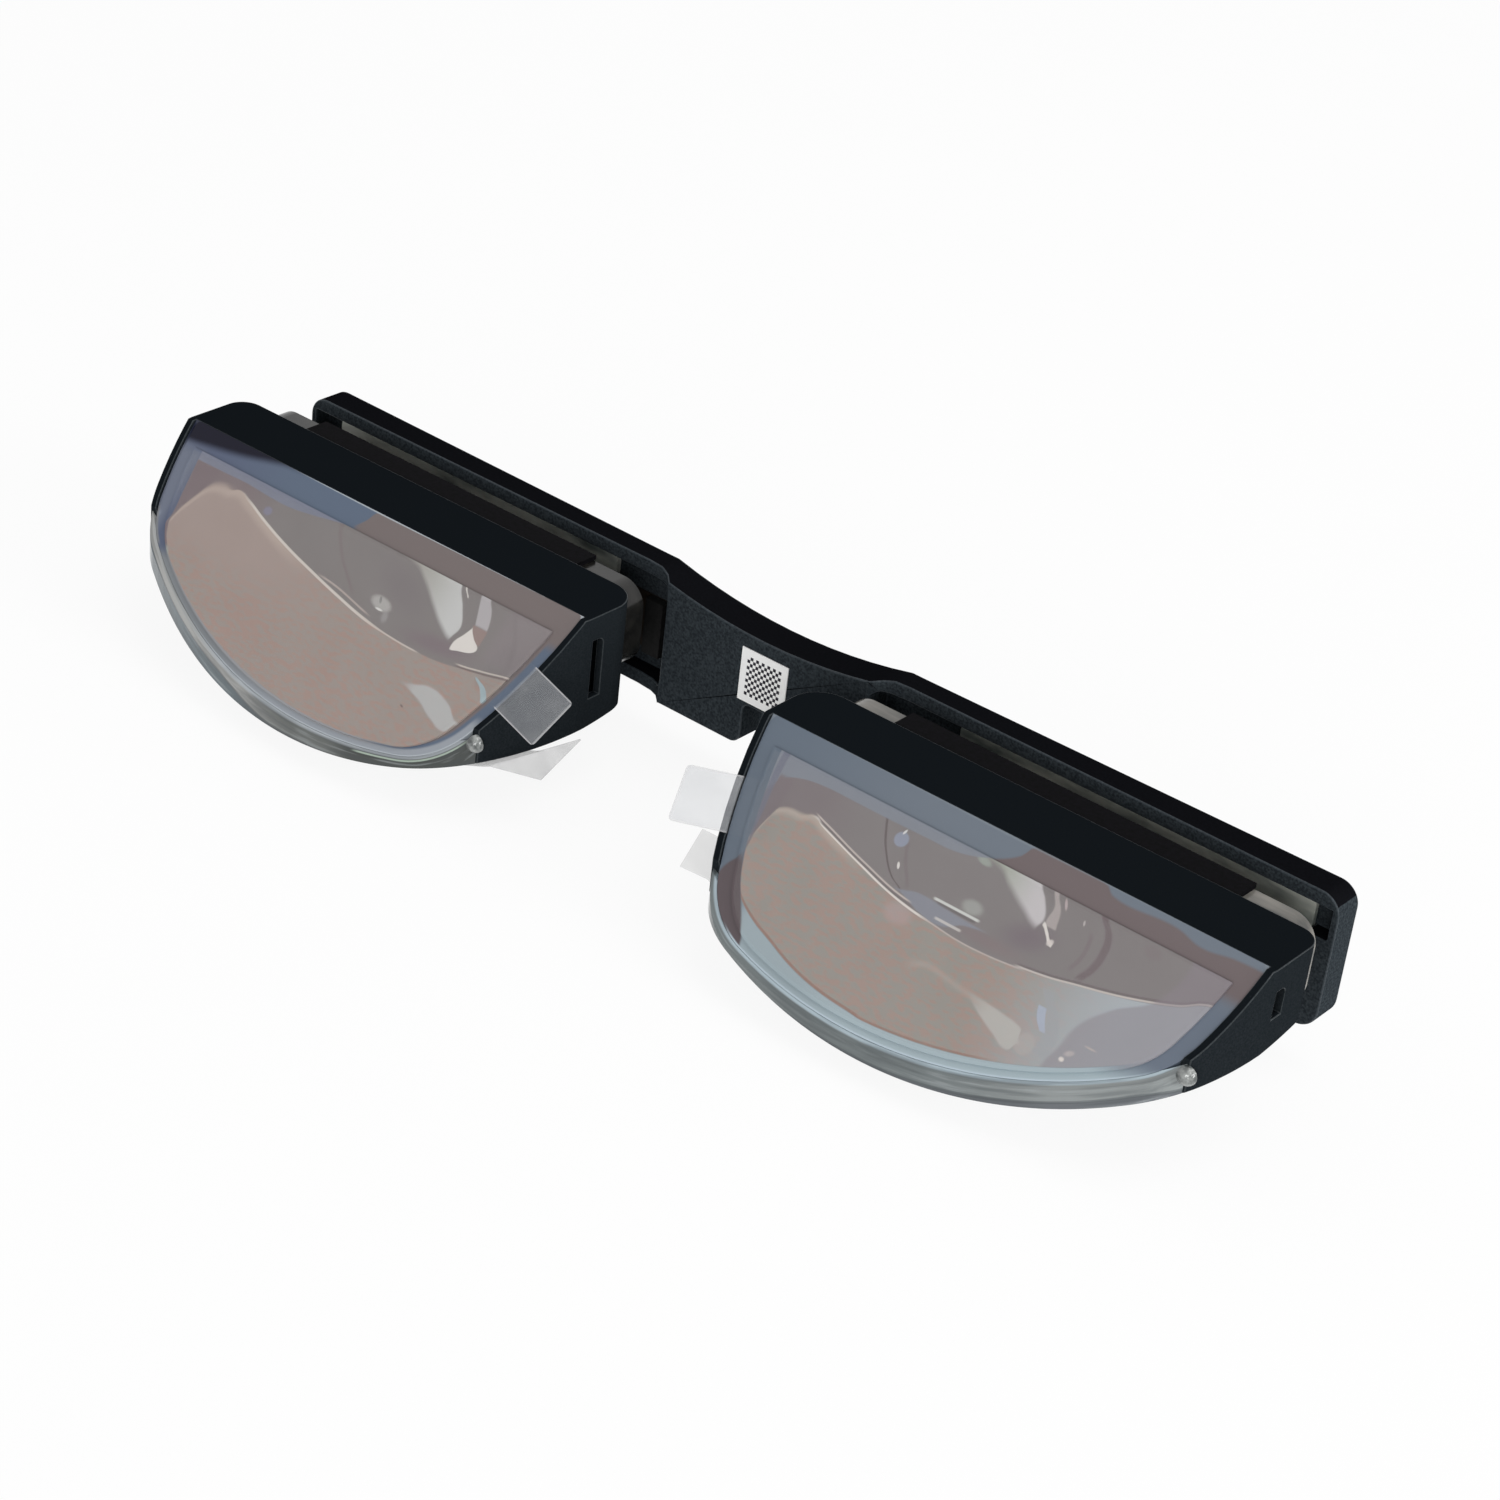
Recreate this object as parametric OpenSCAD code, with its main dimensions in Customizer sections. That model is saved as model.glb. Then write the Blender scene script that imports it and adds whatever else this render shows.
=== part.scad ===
// Binocular optical engine of augmented reality glasses.
// Two D-shaped modules hang from one bridge bar. It lies with the eye side up.
// X runs along the bar, +Y points to the brow and +Z to the wearer's eyes.
// Each module has a beam splitter at 45 degrees over a curved half mirror,
// and a field lens that leads up to a display inside the bar.
// Inside the modules, z = 0 is the eye plane and y = 0 the splitter's top edge.
// Left is -X and right is +X. Right pieces are drawn, left ones are mirrored.

/* [Layout] */
// Distance between the centres of the two modules
module_spacing = 63.8; // [62:0.1:68]
// Height of the housing above the splitter's top edge
housing_h = 6.1; // [5.8:0.1:6.6]
// Height of the bar's rim above the splitter's top edge
rim_y = 12.05; // [11.5:0.05:13]

/* [Splitter glass] */
// Width of the glass along its top edge
glass_w = 44.5; // [43:0.5:46]
// Length of the glass from its top edge to its lowest point
glass_drop = 18.05; // [17.4:0.05:18.6]
// Thickness of the glass
glass_t = 0.7; // [0.5:0.1:1]
// Radius of the glass's long lower arc
arc_r = 37.66; // [34:0.5:42]
// Shift of the lowest point towards the nose
arc_shift = 3.9; // [3:0.1:4.5]
// Radius of the two lower corners
corner_r = 7.5; // [6:0.5:8]
// How far the nose edge leans in over its reach
nose_lean = 3.1; // [2.8:0.1:3.4]
// Reach of the nose edge below the top edge
nose_reach = 12; // [11:0.5:12.5]
// How far the outer edge leans in over its reach
outer_lean = 1.75; // [1.5:0.05:2]
// Reach of the outer edge below the top edge
outer_reach = 8.2; // [7.5:0.1:9]
// Bulge of the nose edge
nose_bulge = 0.45; // [0.35:0.05:0.5]
// Bulge of the outer edge
outer_bulge = 0.24; // [0.2:0.02:0.3]

/* [Curved mirror] */
// Outer radius of the curved mirror
dome_r = 40; // [39:0.5:42]
// Thickness of the curved mirror
dome_t = 2; // [1.6:0.1:2.2]
// Depth of the curved mirror's lowest point under the eye plane
dome_depth = 15.9; // [15.5:0.1:16.4]
// Shift of the curved mirror's centre towards the nose
dome_shift = 2; // [1:0.1:3]
// Distance of the curved mirror's centre below the splitter's top edge
dome_low = 2.1; // [1:0.1:3]
// Width of the mirror's rim round the glass
rim_lap = 0.5; // [0.3:0.05:0.7]

/* [Housing] */
// Thickness of the side walls and plates
wall = 0.67; // [0.5:0.01:0.8]
// Thickness of the front strip
strip_t = 1.1; // [0.9:0.1:1.4]
// Thickness of the frame that carries the lens
frame_t = 1.7; // [1.4:0.1:2]
// Radius of the upper nose corner
nose_round = 2.8; // [2:0.1:3.2]
// Radius of the upper outer corner
outer_round = 1.8; // [1.4:0.1:2.4]
// Height of the plates over the glass on the eye side
plate_proud = 0.3; // [0.2:0.05:0.32]
// Length of the nose plate below the splitter's top edge
nose_plate = 8.55; // [8:0.05:8.9]
// Length of the outer plate below the splitter's top edge
outer_plate = 6.1; // [5.6:0.1:6.6]
// Start of the slots below the eye plane
slot_depth = 2.1; // [2:0.1:2.6]
// Length of the slot in the nose wall
nose_slot = 5.2; // [4:0.1:5.4]
// Length of the slot in the outer wall
outer_slot = 2.3; // [1.8:0.1:2.6]
// Width of the slots
slot_w = 1.25; // [0.9:0.05:1.3]
// Height of the slots' middle above the splitter's top edge
slot_y = 1.2; // [1:0.05:1.4]
// Width of the opening in the frame for the light
window_w = 31; // [28:0.5:32]
// Margin of the opening inside the lens's long sides
window_in = 1; // [0.8:0.1:1.4]

/* [Lens] */
// Distance from the module's centre to the lens's nose end
lens_nose = 17.1; // [16.5:0.1:17.5]
// Distance from the module's centre to the lens's outer end
lens_outer = 18.4; // [18:0.1:18.6]
// Depth of the lens's eye face under the eye plane
lens_face = 3.4; // [3.2:0.1:3.8]
// Depth of the lens along the sight line
lens_d = 7.2; // [6.8:0.1:7.3]
// Radius of the lens's upright corners
lens_corner = 2.6; // [2:0.1:3]
// Reach of the lens's flange to both sides of the module's centre
flange_x = 21.2; // [20.8:0.1:21.6]
// Length of the flange along the sight line
flange_d = 7.4; // [7.2:0.1:7.8]
// Thickness of the flange
flange_t = 2.4; // [1.8:0.1:2.5]
// Radius of the flange's corners
flange_r = 2.2; // [1:0.1:2.6]
// Rise of the lens over the bar's rim
lens_rise = 0.45; // [0.3:0.05:0.5]
// Radius of the lens's curved lower face
lens_r = 100; // [80:5:140]
// Drop of the lens's curved lower face
lens_sag = 1.5; // [1.4:0.1:1.6]

/* [Bar] */
// Distance from a module's centre to the bar's end
bar_reach = 20.8; // [20.6:0.1:21.2]
// Depth of the bar's eye side under the eye plane
bar_face = 0.55; // [0.4:0.05:0.7]
// Depth of the bar along the sight line
bar_d = 11.5; // [11.3:0.1:12]
// Height of the bar at its ends, over its rim
bar_h = 2.75; // [2.7:0.05:3.2]
// Height of the bar at the middle block, over its rim
bar_mid_h = 2.15; // [2.1:0.05:2.4]
// Corner radius of the bar's ends
bar_corner = 1.75; // [1.2:0.05:2]
// Width of the middle block
block_w = 20.6; // [19.5:0.1:21]
// Drop of the middle block under the rim
block_drop = 1.19; // [1:0.01:1.3]
// Radius of the scoop in the eye side
scoop_r = 51; // [45:1:60]
// Depth of the scoop at the middle
scoop_d = 1.45; // [1.2:0.05:1.6]
// Width of the notch in the world side
notch_w = 3; // [2.6:0.1:3.4]
// Depth of the notch
notch_d = 3.85; // [3.5:0.05:3.9]
// Radius of the corners where the notch opens
notch_lip = 1; // [0.6:0.1:1.4]
// Thickness of the pocket's long walls
pocket_wall = 1.2; // [1:0.05:1.25]
// Radius of the pocket's corners
pocket_r = 1; // [0.8:0.1:1.4]
// Length of the recess at the pocket's outer corner
recess_l = 1.8; // [1.5:0.1:1.9]
// Width of the recess at the pocket's outer corner
recess_w = 2.6; // [2:0.1:3]
// Length of the lip that blends the block into the rim
lip_len = 3.2; // [2.8:0.1:3.4]

/* [Display] */
// Width of the cover glass along the bar
cover_w = 21; // [18:0.5:22]
// Depth of the cover glass along the sight line
cover_d = 7; // [6.5:0.1:7.1]
// Thickness of the cover glass
cover_t = 0.4; // [0.35:0.05:0.45]
// Thickness of the display panel
panel_t = 0.4; // [0.35:0.05:0.45]
// Margin of the display panel round the cover glass
panel_margin = 0.1; // [0.05:0.05:0.15]
// Thickness of the carrier plate
carrier_t = 0.4; // [0.35:0.05:0.45]
// Length of the carrier plate
carrier_l = 32.4; // [31:0.1:33]
// Margin of the carrier plate inside the pocket
carrier_in = 0.15; // [0.1:0.05:0.2]
// Width of the ribbon
flex_w = 5; // [4:0.5:6]
// Thickness of the ribbon
flex_t = 0.15; // [0.1:0.01:0.2]
// Length of the ribbon past the carrier
flex_len = 5.6; // [4.5:0.1:5.8]
// Length of the connector along the bar
connector_l = 1.8; // [1.4:0.1:2]
// Height of the connector
connector_h = 0.8; // [0.6:0.1:1]

/* [Films and sticker] */
// Thickness of the bonded polariser
polariser_t = 0.2; // [0.15:0.01:0.22]
// Distance of the polariser's side edges from the glass edge
film_side = 1.35; // [1.1:0.05:1.6]
// Distance of the polariser's arc from the glass edge
film_arc = 0.6; // [0.5:0.05:1]
// Distance of the polariser's top edge from the glass's top edge
film_top = 2.2; // [1.8:0.1:2.6]
// Thickness of the peel-off films
film_t = 0.1; // [0.08:0.01:0.12]
// Step of the peel-off film inside the polariser's edge
film_step = 0.25; // [0.1:0.05:0.4]
// Gap under the peel-off film
film_gap = 0.05; // [0.04:0.01:0.06]
// Distance of the world side film from the mirror's edge
world_film_in = 1.2; // [1:0.1:1.6]
// Side of the square pull tab that shows
tab_w = 4.55; // [4:0.05:5]
// Length of the pull tab
tab_len = 8.4; // [8.1:0.1:9]
// Thickness of the pull tabs
tab_t = 0.14; // [0.1:0.01:0.16]
// Gap between a curled tab and the curved mirror's film
tab_gap = 0.13; // [0.12:0.01:0.2]
// Tilt of the pull tab against the bar
tab_tilt = 14; // [10:1:18]
// Corner radius of the pull tab
tab_r = 0.35; // [0.2:0.05:0.6]
// Reach of the pull tab past the glass's nose edge at its top
tab_reach = 3.2; // [2.6:0.1:3.5]
// Distance of the pull tab's middle below the glass's top edge
tab_low = 8.7; // [8.2:0.1:9.2]
// Distance of the right curled tab below the splitter's top edge
right_tab_y = 3.1; // [2.8:0.1:4]
// Distance of the left curled tab below the splitter's top edge
left_tab_y = 4; // [3.6:0.1:4.2]
// Side of the sticker
label_w = 4.73; // [4:0.01:4.8]
// Thickness of the sticker
label_t = 0.08; // [0.05:0.01:0.12]
// Offset of the sticker from the middle, along the bar
label_x = 0.27; // [0:0.01:0.5]
// Gap between the sticker and the notch
label_gap = 0.32; // [0.25:0.01:0.5]
// Height of the black strip over the frame
strip_h = 2.6; // [2:0.1:3]
// Length of the black strip
strip_l = 31.2; // [28:0.1:32]
// Thickness of the black strip
strip_thick = 0.4; // [0.3:0.05:0.5]
// Depth of the black strip's face under the eye plane
strip_face = 0.2; // [0.1:0.05:0.4]
// Radius of the adhesive beads
bead_r = 0.8; // [0.6:0.05:0.9]

/* [Hidden] */
$fn = 96;

// The splitter stands at this angle to the sight line.
tilt = 45;
flat = cos(tilt);
side_x = glass_w / 2;
wall_x = side_x + wall;
centre_x = module_spacing / 2;
bar_x = centre_x + bar_reach;
bar_back = bar_face + bar_d;
brow_y = rim_y + bar_h;
mid_y = rim_y + bar_mid_h;
block_y = rim_y - block_drop;
lens_top = rim_y + lens_rise;
floor_y = lens_top + cover_t + panel_t + carrier_t;
frame_y = housing_h - frame_t;
dome_z = dome_r - dome_depth;
// Clearance round a glued piece
bond = 0.03;
world_film_t = film_t;
pocket_z = bar_face + pocket_wall;
pocket_d = bar_d - 2 * pocket_wall;
pocket_end = lens_outer + bond;
lens_mid = lens_face + lens_d / 2;
flange_z = strip_face + strip_thick + bond;
// Stretch that runs past a cut
over = 1;
// Size of a block that trims away everything on one side
far = 60;
// Share of a curled tab's width that shows along Y
curl_turn = 0.945;
// Ends of the curled tabs' outer edges, from the top of the glass's nose edge
right_tip = [[-1.95, -4.5, -9.4], [-0.25, -8.9, -10]];
left_tip = [[-1.7, -1.2, -9.9], [-1.6, -5.4, -11.95]];
// Lowest and highest points of the whole, which set the origin
low_z = dome_depth + world_film_t;
low_y = glass_drop * flat + rim_lap;
shift_y = (low_y - brow_y) / 2;

// Centre of the circle through three points
function sq(p) = p[0] * p[0] + p[1] * p[1];
function turn(a, b, c) = 2 * (a[0] * (b[1] - c[1]) + b[0] * (c[1] - a[1]) + c[0] * (a[1] - b[1]));
function circle_x(a, b, c) = (sq(a) * (b[1] - c[1]) + sq(b) * (c[1] - a[1]) + sq(c) * (a[1] - b[1])) / turn(a, b, c);
function circle_y(a, b, c) = (sq(a) * (c[0] - b[0]) + sq(b) * (a[0] - c[0]) + sq(c) * (b[0] - a[0])) / turn(a, b, c);
function centre3(a, b, c) = [circle_x(a, b, c), circle_y(a, b, c)];
// The one of the two points where two circles meet that lies further to one side
function base_pt(p, q, r, s) = p + (q - p) * (r * r - s * s + sq(q - p)) / (2 * sq(q - p));
function across(p, q, r, s) = sqrt(r * r - sq(base_pt(p, q, r, s) - p)) / norm(q - p);
function further(a, b, way) = way * a[0] > way * b[0] ? a : b;
function meet(p, q, r, s, way) = further(
    base_pt(p, q, r, s) + across(p, q, r, s) * [p[1] - q[1], q[0] - p[0]],
    base_pt(p, q, r, s) - across(p, q, r, s) * [p[1] - q[1], q[0] - p[0]],
    way
);
// Points of an arc round c, from the direction of a to that of b
function way_to(c, p) = atan2(p[1] - c[1], p[0] - c[0]);
function arc_points(c, r, a, b, n) = [
    for (i = [0:n])
        let (from = way_to(c, a), swing = (way_to(c, b) - from + 540) % 360 - 180)
            c + r * [cos(from + swing * i / n), sin(from + swing * i / n)]
];
// Radius of the lower arc as it is seen when the plane is foreshortened by k
arc_half = 20;
function arc_sag(k) = k * (arc_r - sqrt(arc_r * arc_r - arc_half * arc_half));
function seen_r(k) = (arc_half * arc_half + arc_sag(k) * arc_sag(k)) / (2 * arc_sag(k));

// Outline of the glass, nose side at -X and its top edge on the X axis.
// It is foreshortened by k, grown by side and arc, and cut off at top.
module dee(k, side = 0, arc = 0, top = 0) {
    nose_a = [-side_x, 0];
    nose_b = [-side_x + nose_lean, -nose_reach * k];
    outer_a = [side_x, 0];
    outer_b = [side_x - outer_lean, -outer_reach * k];
    nose_c = centre3(nose_a, (nose_a + nose_b) / 2 - [nose_bulge, 0], nose_b);
    outer_c = centre3(outer_a, (outer_a + outer_b) / 2 + [outer_bulge, 0], outer_b);
    nose_r = norm(nose_a - nose_c) + side;
    outer_r = norm(outer_a - outer_c) + side;
    low_c = [-arc_shift, seen_r(k) - glass_drop * k];
    low_r = seen_r(k) + arc;
    round_r = corner_r * sqrt(k) + arc;
    nose_m = meet(nose_c, low_c, nose_r - round_r, low_r - round_r, -1);
    outer_m = meet(outer_c, low_c, outer_r - round_r, low_r - round_r, 1);
    intersection() {
        polygon(concat(
            arc_points(nose_c, nose_r, nose_a + [0, over], nose_m, 6),
            arc_points(nose_m, round_r, 2 * nose_m - nose_c, 2 * nose_m - low_c, 12),
            arc_points(low_c, low_r, nose_m, outer_m, 24),
            arc_points(outer_m, round_r, 2 * outer_m - low_c, 2 * outer_m - outer_c, 12),
            arc_points(outer_c, outer_r, outer_m, outer_a + [0, over], 6)
        ));
        translate([-far / 2, -far + top]) square(far);
    }
}

// A rectangle with rounded corners
module round_rect(from, size, r) {
    translate(from + [r, 0]) square([size[0] - 2 * r, size[1]]);
    translate(from + [0, r]) square([size[0], size[1] - 2 * r]);
    for (x = [r, size[0] - r], y = [r, size[1] - r])
        translate(from + [x, y]) circle(r);
}

// A flat layer on the splitter's plane, from one height over the eye face to another
module on_splitter(from, to) {
    rotate([tilt, 0, 0]) translate([0, 0, from]) linear_extrude(to - from) children();
}

// A layer across the bar, between two heights y; its outline lies in x and z
module across_bar(from, to) {
    translate([0, to, 0]) rotate([90, 0, 0]) linear_extrude(to - from) children();
}

// A column along the sight line, between two depths under the eye plane
module along_sight(from, to) {
    translate([0, 0, -to]) linear_extrude(to - from) children();
}

// The ball that the curved mirror is cut from
module ball(r) {
    translate([-dome_shift, -dome_low, dome_z]) sphere(r, $fn = 180);
}

// The room that a glued splitter takes, open towards the eye
module splitter_room(side = bond) {
    on_splitter(-glass_t - bond, over * 3) dee(1, side, side, 0);
}

// Everything on the world side of a plane over the splitter
module world_side(height) {
    rotate([tilt, 0, 0]) translate([-far / 2, -far / 2, height - far]) cube(far);
}

// Outline of the housing above the splitter's top edge
module upper_outline() {
    round_top = max(nose_round, outer_round);
    translate([-wall_x, 0]) square([2 * wall_x, housing_h - round_top]);
    translate([nose_round - wall_x, 0]) square([2 * wall_x - nose_round - outer_round, housing_h]);
    translate([-wall_x, 0]) square([side_x, housing_h - nose_round]);
    translate([wall_x - side_x, 0]) square([side_x, housing_h - outer_round]);
    translate([nose_round - wall_x, housing_h - nose_round]) circle(nose_round);
    translate([wall_x - outer_round, housing_h - outer_round]) circle(outer_round);
}

// The opening in the frame, under the lens
module window(gap = 0) {
    x = window_w / 2 - gap;
    margin = window_in + gap;
    across_bar(frame_y - over, housing_h + over)
        translate([-x, margin - lens_face - lens_d])
            square([2 * x, lens_d - 2 * margin]);
}

// A slot through a side wall, with two opposite corners rounded
module slot(length) {
    r = slot_w / 2;
    translate([0, slot_y, -slot_depth - length])
        rotate([90, 0, 90])
            linear_extrude(2 * wall + over, center = true)
                union() {
                    translate([-r, 0]) square([slot_w, length - r]);
                    translate([-r, r]) square([r, length - r]);
                    translate([0, length - r]) circle(r);
                }
}

module plate(toward, reach) {
    intersection() {
        along_sight(0, dome_depth) difference() {
            dee(flat, wall, wall);
            dee(flat, bond, bond);
        }
        translate([toward > 0 ? 0 : -far, -reach, -far / 2]) cube(far);
        ball(dome_r);
        world_side(plate_proud);
    }
}

module housing() {
    color([0.08, 0.1, 0.1]) difference() {
        union() {
            intersection() {
                along_sight(0, dome_depth) upper_outline();
                ball(dome_r);
            }
            plate(-1, nose_plate);
            plate(1, outer_plate);
        }
        translate([-side_x, -over, -far - strip_t]) cube([glass_w, frame_y + over, far]);
        window();
        splitter_room();
        translate([-wall_x, 0, 0]) slot(nose_slot);
        translate([wall_x, 0, 0]) slot(outer_slot);
    }
}

module splitter() {
    color([0.62, 0.6, 0.6, 0.8]) on_splitter(-glass_t, 0) dee(1);
}

module polariser() {
    color([0.6, 0.56, 0.56]) on_splitter(0, polariser_t) dee(1, -film_side, -film_arc, -film_top);
}

module eye_film() {
    low = polariser_t + film_gap;
    color([0.75, 0.72, 0.7, 0.4]) on_splitter(low, low + film_t)
        dee(1, -film_side - film_step, -film_arc - film_step, -film_top - film_step);
}

module eye_tab() {
    low = polariser_t + film_gap + film_t;
    color([0.9, 0.9, 0.9, 0.5]) on_splitter(low, low + tab_t)
        translate([-side_x - tab_reach, -tab_low])
            rotate(tab_tilt) round_rect([0, -tab_w / 2], [tab_len, tab_w], tab_r);
}

// Front outline of the curved mirror: between the plates, and past them round the glass
module mirror_outline() {
    dee(flat, 0, 0);
    translate([-side_x + bond, -over]) square([glass_w - 2 * bond, frame_y + over]);
    intersection() {
        dee(flat, rim_lap, rim_lap);
        union() {
            translate([-far, -far - nose_plate]) square(far);
            translate([0, -far - outer_plate]) square(far);
        }
    }
}

module combiner() {
    color([0.75, 0.8, 0.8, 0.35]) difference() {
        intersection() {
            along_sight(0, dome_depth + over) mirror_outline();
            ball(dome_r);
            world_side(0);
        }
        ball(dome_r - dome_t);
        splitter_room();
    }
}

module world_film() {
    color([0.85, 0.85, 0.88, 0.3]) difference() {
        intersection() {
            along_sight(0, dome_depth + over) union() {
                dee(flat, -world_film_in, -world_film_in);
                translate([-side_x + world_film_in, -over])
                    square([glass_w - 2 * world_film_in, frame_y - world_film_in + over]);
            }
            ball(dome_r + world_film_t);
        }
        ball(dome_r);
    }
}

// Depth of the curved mirror's outside at a place, with a height over it
function dome_at(x, y, up) = dome_z - sqrt(
    (dome_r + up) * (dome_r + up) - (x + dome_shift) * (x + dome_shift) - (y + dome_low) * (y + dome_low)
);
function on_dome(x, y, up) = [x, y, dome_at(x, y, up)];

// A pull tab on the curved mirror's film, laid over the nose plate and out past it.
// It is held by the film, so its first rows lie on the mirror's curve.
module curled_tab(rows_y, tip) {
    up = world_film_t + tab_t / 2 + tab_gap;
    on_film = [
        for (row = [[nose_lean, 1.5 * nose_lean, 0.8], [0.4, 2.1, 0.2], [-0.5, 1.2, 0]])
            [
                on_dome(row[0] - side_x, row[2] - rows_y, up),
                on_dome(row[1] - side_x, row[2] - rows_y - tab_w * curl_turn, up)
            ]
    ];
    nose_top = [-side_x, 0, 0];
    rows = concat(on_film, [[tip[0] + nose_top, tip[1] + nose_top]]);
    color([0.9, 0.9, 0.9, 0.5]) for (i = [0:len(rows) - 2])
        hull() for (p = [rows[i][0], rows[i][1], rows[i + 1][0], rows[i + 1][1]])
            translate(p) sphere(tab_t / 2, $fn = 12);
}

// The two tabs curl by different amounts.
module right_tab() {
    curled_tab(right_tab_y, right_tip);
}

module left_tab() {
    curled_tab(left_tab_y, left_tip);
}

module lens_plan() {
    round_rect([-lens_nose, -lens_face - lens_d], [lens_nose + lens_outer, lens_d], lens_corner);
}

// The lens stands on the frame with a flange, behind the black strip, and rises into
// the bar. Its curved lower face bulges through the opening.
module lens() {
    color([0.7, 0.74, 0.72, 0.45]) union() {
        across_bar(housing_h, lens_top) lens_plan();
        across_bar(housing_h, housing_h + flange_t)
            round_rect([-flange_x, -flange_z - flange_d], [2 * flange_x, flange_d], flange_r);
        intersection() {
            window(bond);
            translate([-far / 2, housing_h - far + bond, -far]) cube(far);
            translate([0, housing_h - lens_sag + lens_r, -lens_mid]) sphere(lens_r, $fn = 180);
        }
    }
}

// The black strip stands on the frame in front of the lens.
module shield_tape() {
    color([0.03, 0.03, 0.03]) along_sight(strip_face, strip_face + strip_thick)
        translate([-strip_l / 2, housing_h]) square([strip_l, strip_h]);
}

// A bead of adhesive where a plate ends beside the mirror's rim
module bead(x, y) {
    color([0.8, 0.82, 0.8, 0.5]) difference() {
        translate([x, y, y - bead_r]) sphere(bead_r);
        along_sight(0, dome_depth + over) dee(flat, rim_lap, rim_lap);
        translate([-far / 2, y, -far / 2]) cube(far);
    }
}

module nose_bead() {
    bead(-side_x + nose_lean * nose_plate / (nose_reach * flat) - rim_lap, -nose_plate);
}

module outer_bead() {
    bead(side_x - outer_lean * outer_plate / (outer_reach * flat) + rim_lap, -outer_plate);
}

module display_layer(from, thick, margin) {
    width = cover_w + 2 * margin;
    depth = cover_d + 2 * margin;
    across_bar(from, from + thick) translate([-width / 2, -lens_mid - depth / 2]) square([width, depth]);
}

module cover_glass() {
    color([0.55, 0.6, 0.62, 0.6]) display_layer(lens_top, cover_t, 0);
}

module display() {
    color([0.12, 0.12, 0.16]) display_layer(lens_top + cover_t, panel_t, panel_margin);
}

carrier_end = pocket_end - carrier_in;
carrier_nose = carrier_end - carrier_l;

module carrier() {
    color([0.55, 0.57, 0.55])
        across_bar(floor_y - carrier_t, floor_y)
            round_rect(
                [carrier_nose, carrier_in - pocket_z - pocket_d],
                [carrier_l, pocket_d - 2 * carrier_in],
                pocket_r
            );
}

// The ribbon runs along the pocket's ceiling to the connector at the middle block.
module flex() {
    color([0.12, 0.08, 0.05]) translate([carrier_nose - flex_len, floor_y - flex_t, -lens_mid - flex_w / 2])
        cube([flex_len, flex_t, flex_w]);
}

module connector() {
    color([0.1, 0.1, 0.1])
        translate([carrier_nose - flex_len, floor_y - flex_t - connector_h, -lens_mid - flex_w / 2])
            cube([connector_l, connector_h, flex_w]);
}

// What the rounding of the notch's mouth takes away
module notch_corner(s) {
    difference() {
        translate([s * (notch_lip / 2 - over / 2), notch_lip / 2 - over / 2])
            square(notch_lip + over, center = true);
        translate([s * notch_lip, notch_lip]) circle(notch_lip);
    }
}

// Outline of the bar seen from the brow, with the scoop and the notch
module bar_outline() {
    r = notch_w / 5;
    difference() {
        round_rect([-bar_x, -bar_back], [2 * bar_x, bar_d], bar_corner);
        translate([0, scoop_r - bar_face - scoop_d]) circle(scoop_r, $fn = 180);
        translate([-notch_w / 2, -bar_back - over]) square([notch_w, notch_d + over - r]);
        translate([r - notch_w / 2, -bar_back - over]) square([notch_w - 2 * r, notch_d + over]);
        for (s = [-1, 1]) {
            translate([s * (notch_w / 2 - r), notch_d - bar_back - r]) circle(r);
            translate([s * notch_w / 2, -bar_back]) notch_corner(s);
        }
    }
}

// Side view of the bar: the block, its lips and the brow side that rises to the ends
module bar_profile() {
    half = block_w / 2;
    polygon([
        [-half, block_y], [half, block_y],
        [half + lip_len / 4, rim_y - block_drop / 2.6], [half + lip_len / 2, rim_y - block_drop / 8],
        [half + lip_len, rim_y], [bar_x, rim_y],
        [bar_x, brow_y], [half + lip_len, mid_y],
        [-half - lip_len, mid_y], [-bar_x, brow_y],
        [-bar_x, rim_y], [-half - lip_len, rim_y],
        [-half - lip_len / 2, rim_y - block_drop / 8], [-half - lip_len / 4, rim_y - block_drop / 2.6]
    ]);
}

// The pocket ends at the lens, with a small recess at its outer corner
module pocket_outline() {
    from = block_w / 2;
    to = centre_x + pocket_end;
    round_rect([from, -pocket_z - pocket_d], [to - from, pocket_d], pocket_r);
    translate([to - pocket_r, -pocket_z - recess_w]) square([pocket_r + recess_l, recess_w]);
}

module bridge_bar() {
    color([0.07, 0.09, 0.09]) difference() {
        intersection() {
            across_bar(block_y - over, brow_y + over) bar_outline();
            along_sight(0, bar_back + over) bar_profile();
        }
        for (s = [0, 1])
            mirror([s, 0, 0]) across_bar(block_y - over, floor_y) pocket_outline();
    }
}

module label() {
    color([0.9, 0.9, 0.88])
        across_bar(block_y - label_t, block_y)
            translate([label_x - label_w / 2, notch_d - bar_back + label_gap]) square(label_w);
}

// Places a right-hand piece, or its mirror image on the left
module right_side() {
    translate([centre_x, 0, 0]) children();
}

module left_side() {
    mirror([1, 0, 0]) translate([centre_x, 0, 0]) children();
}

// Moves the whole so that the origin is under the middle of its base
module placed() {
    translate([0, shift_y, low_z]) children();
}

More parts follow.
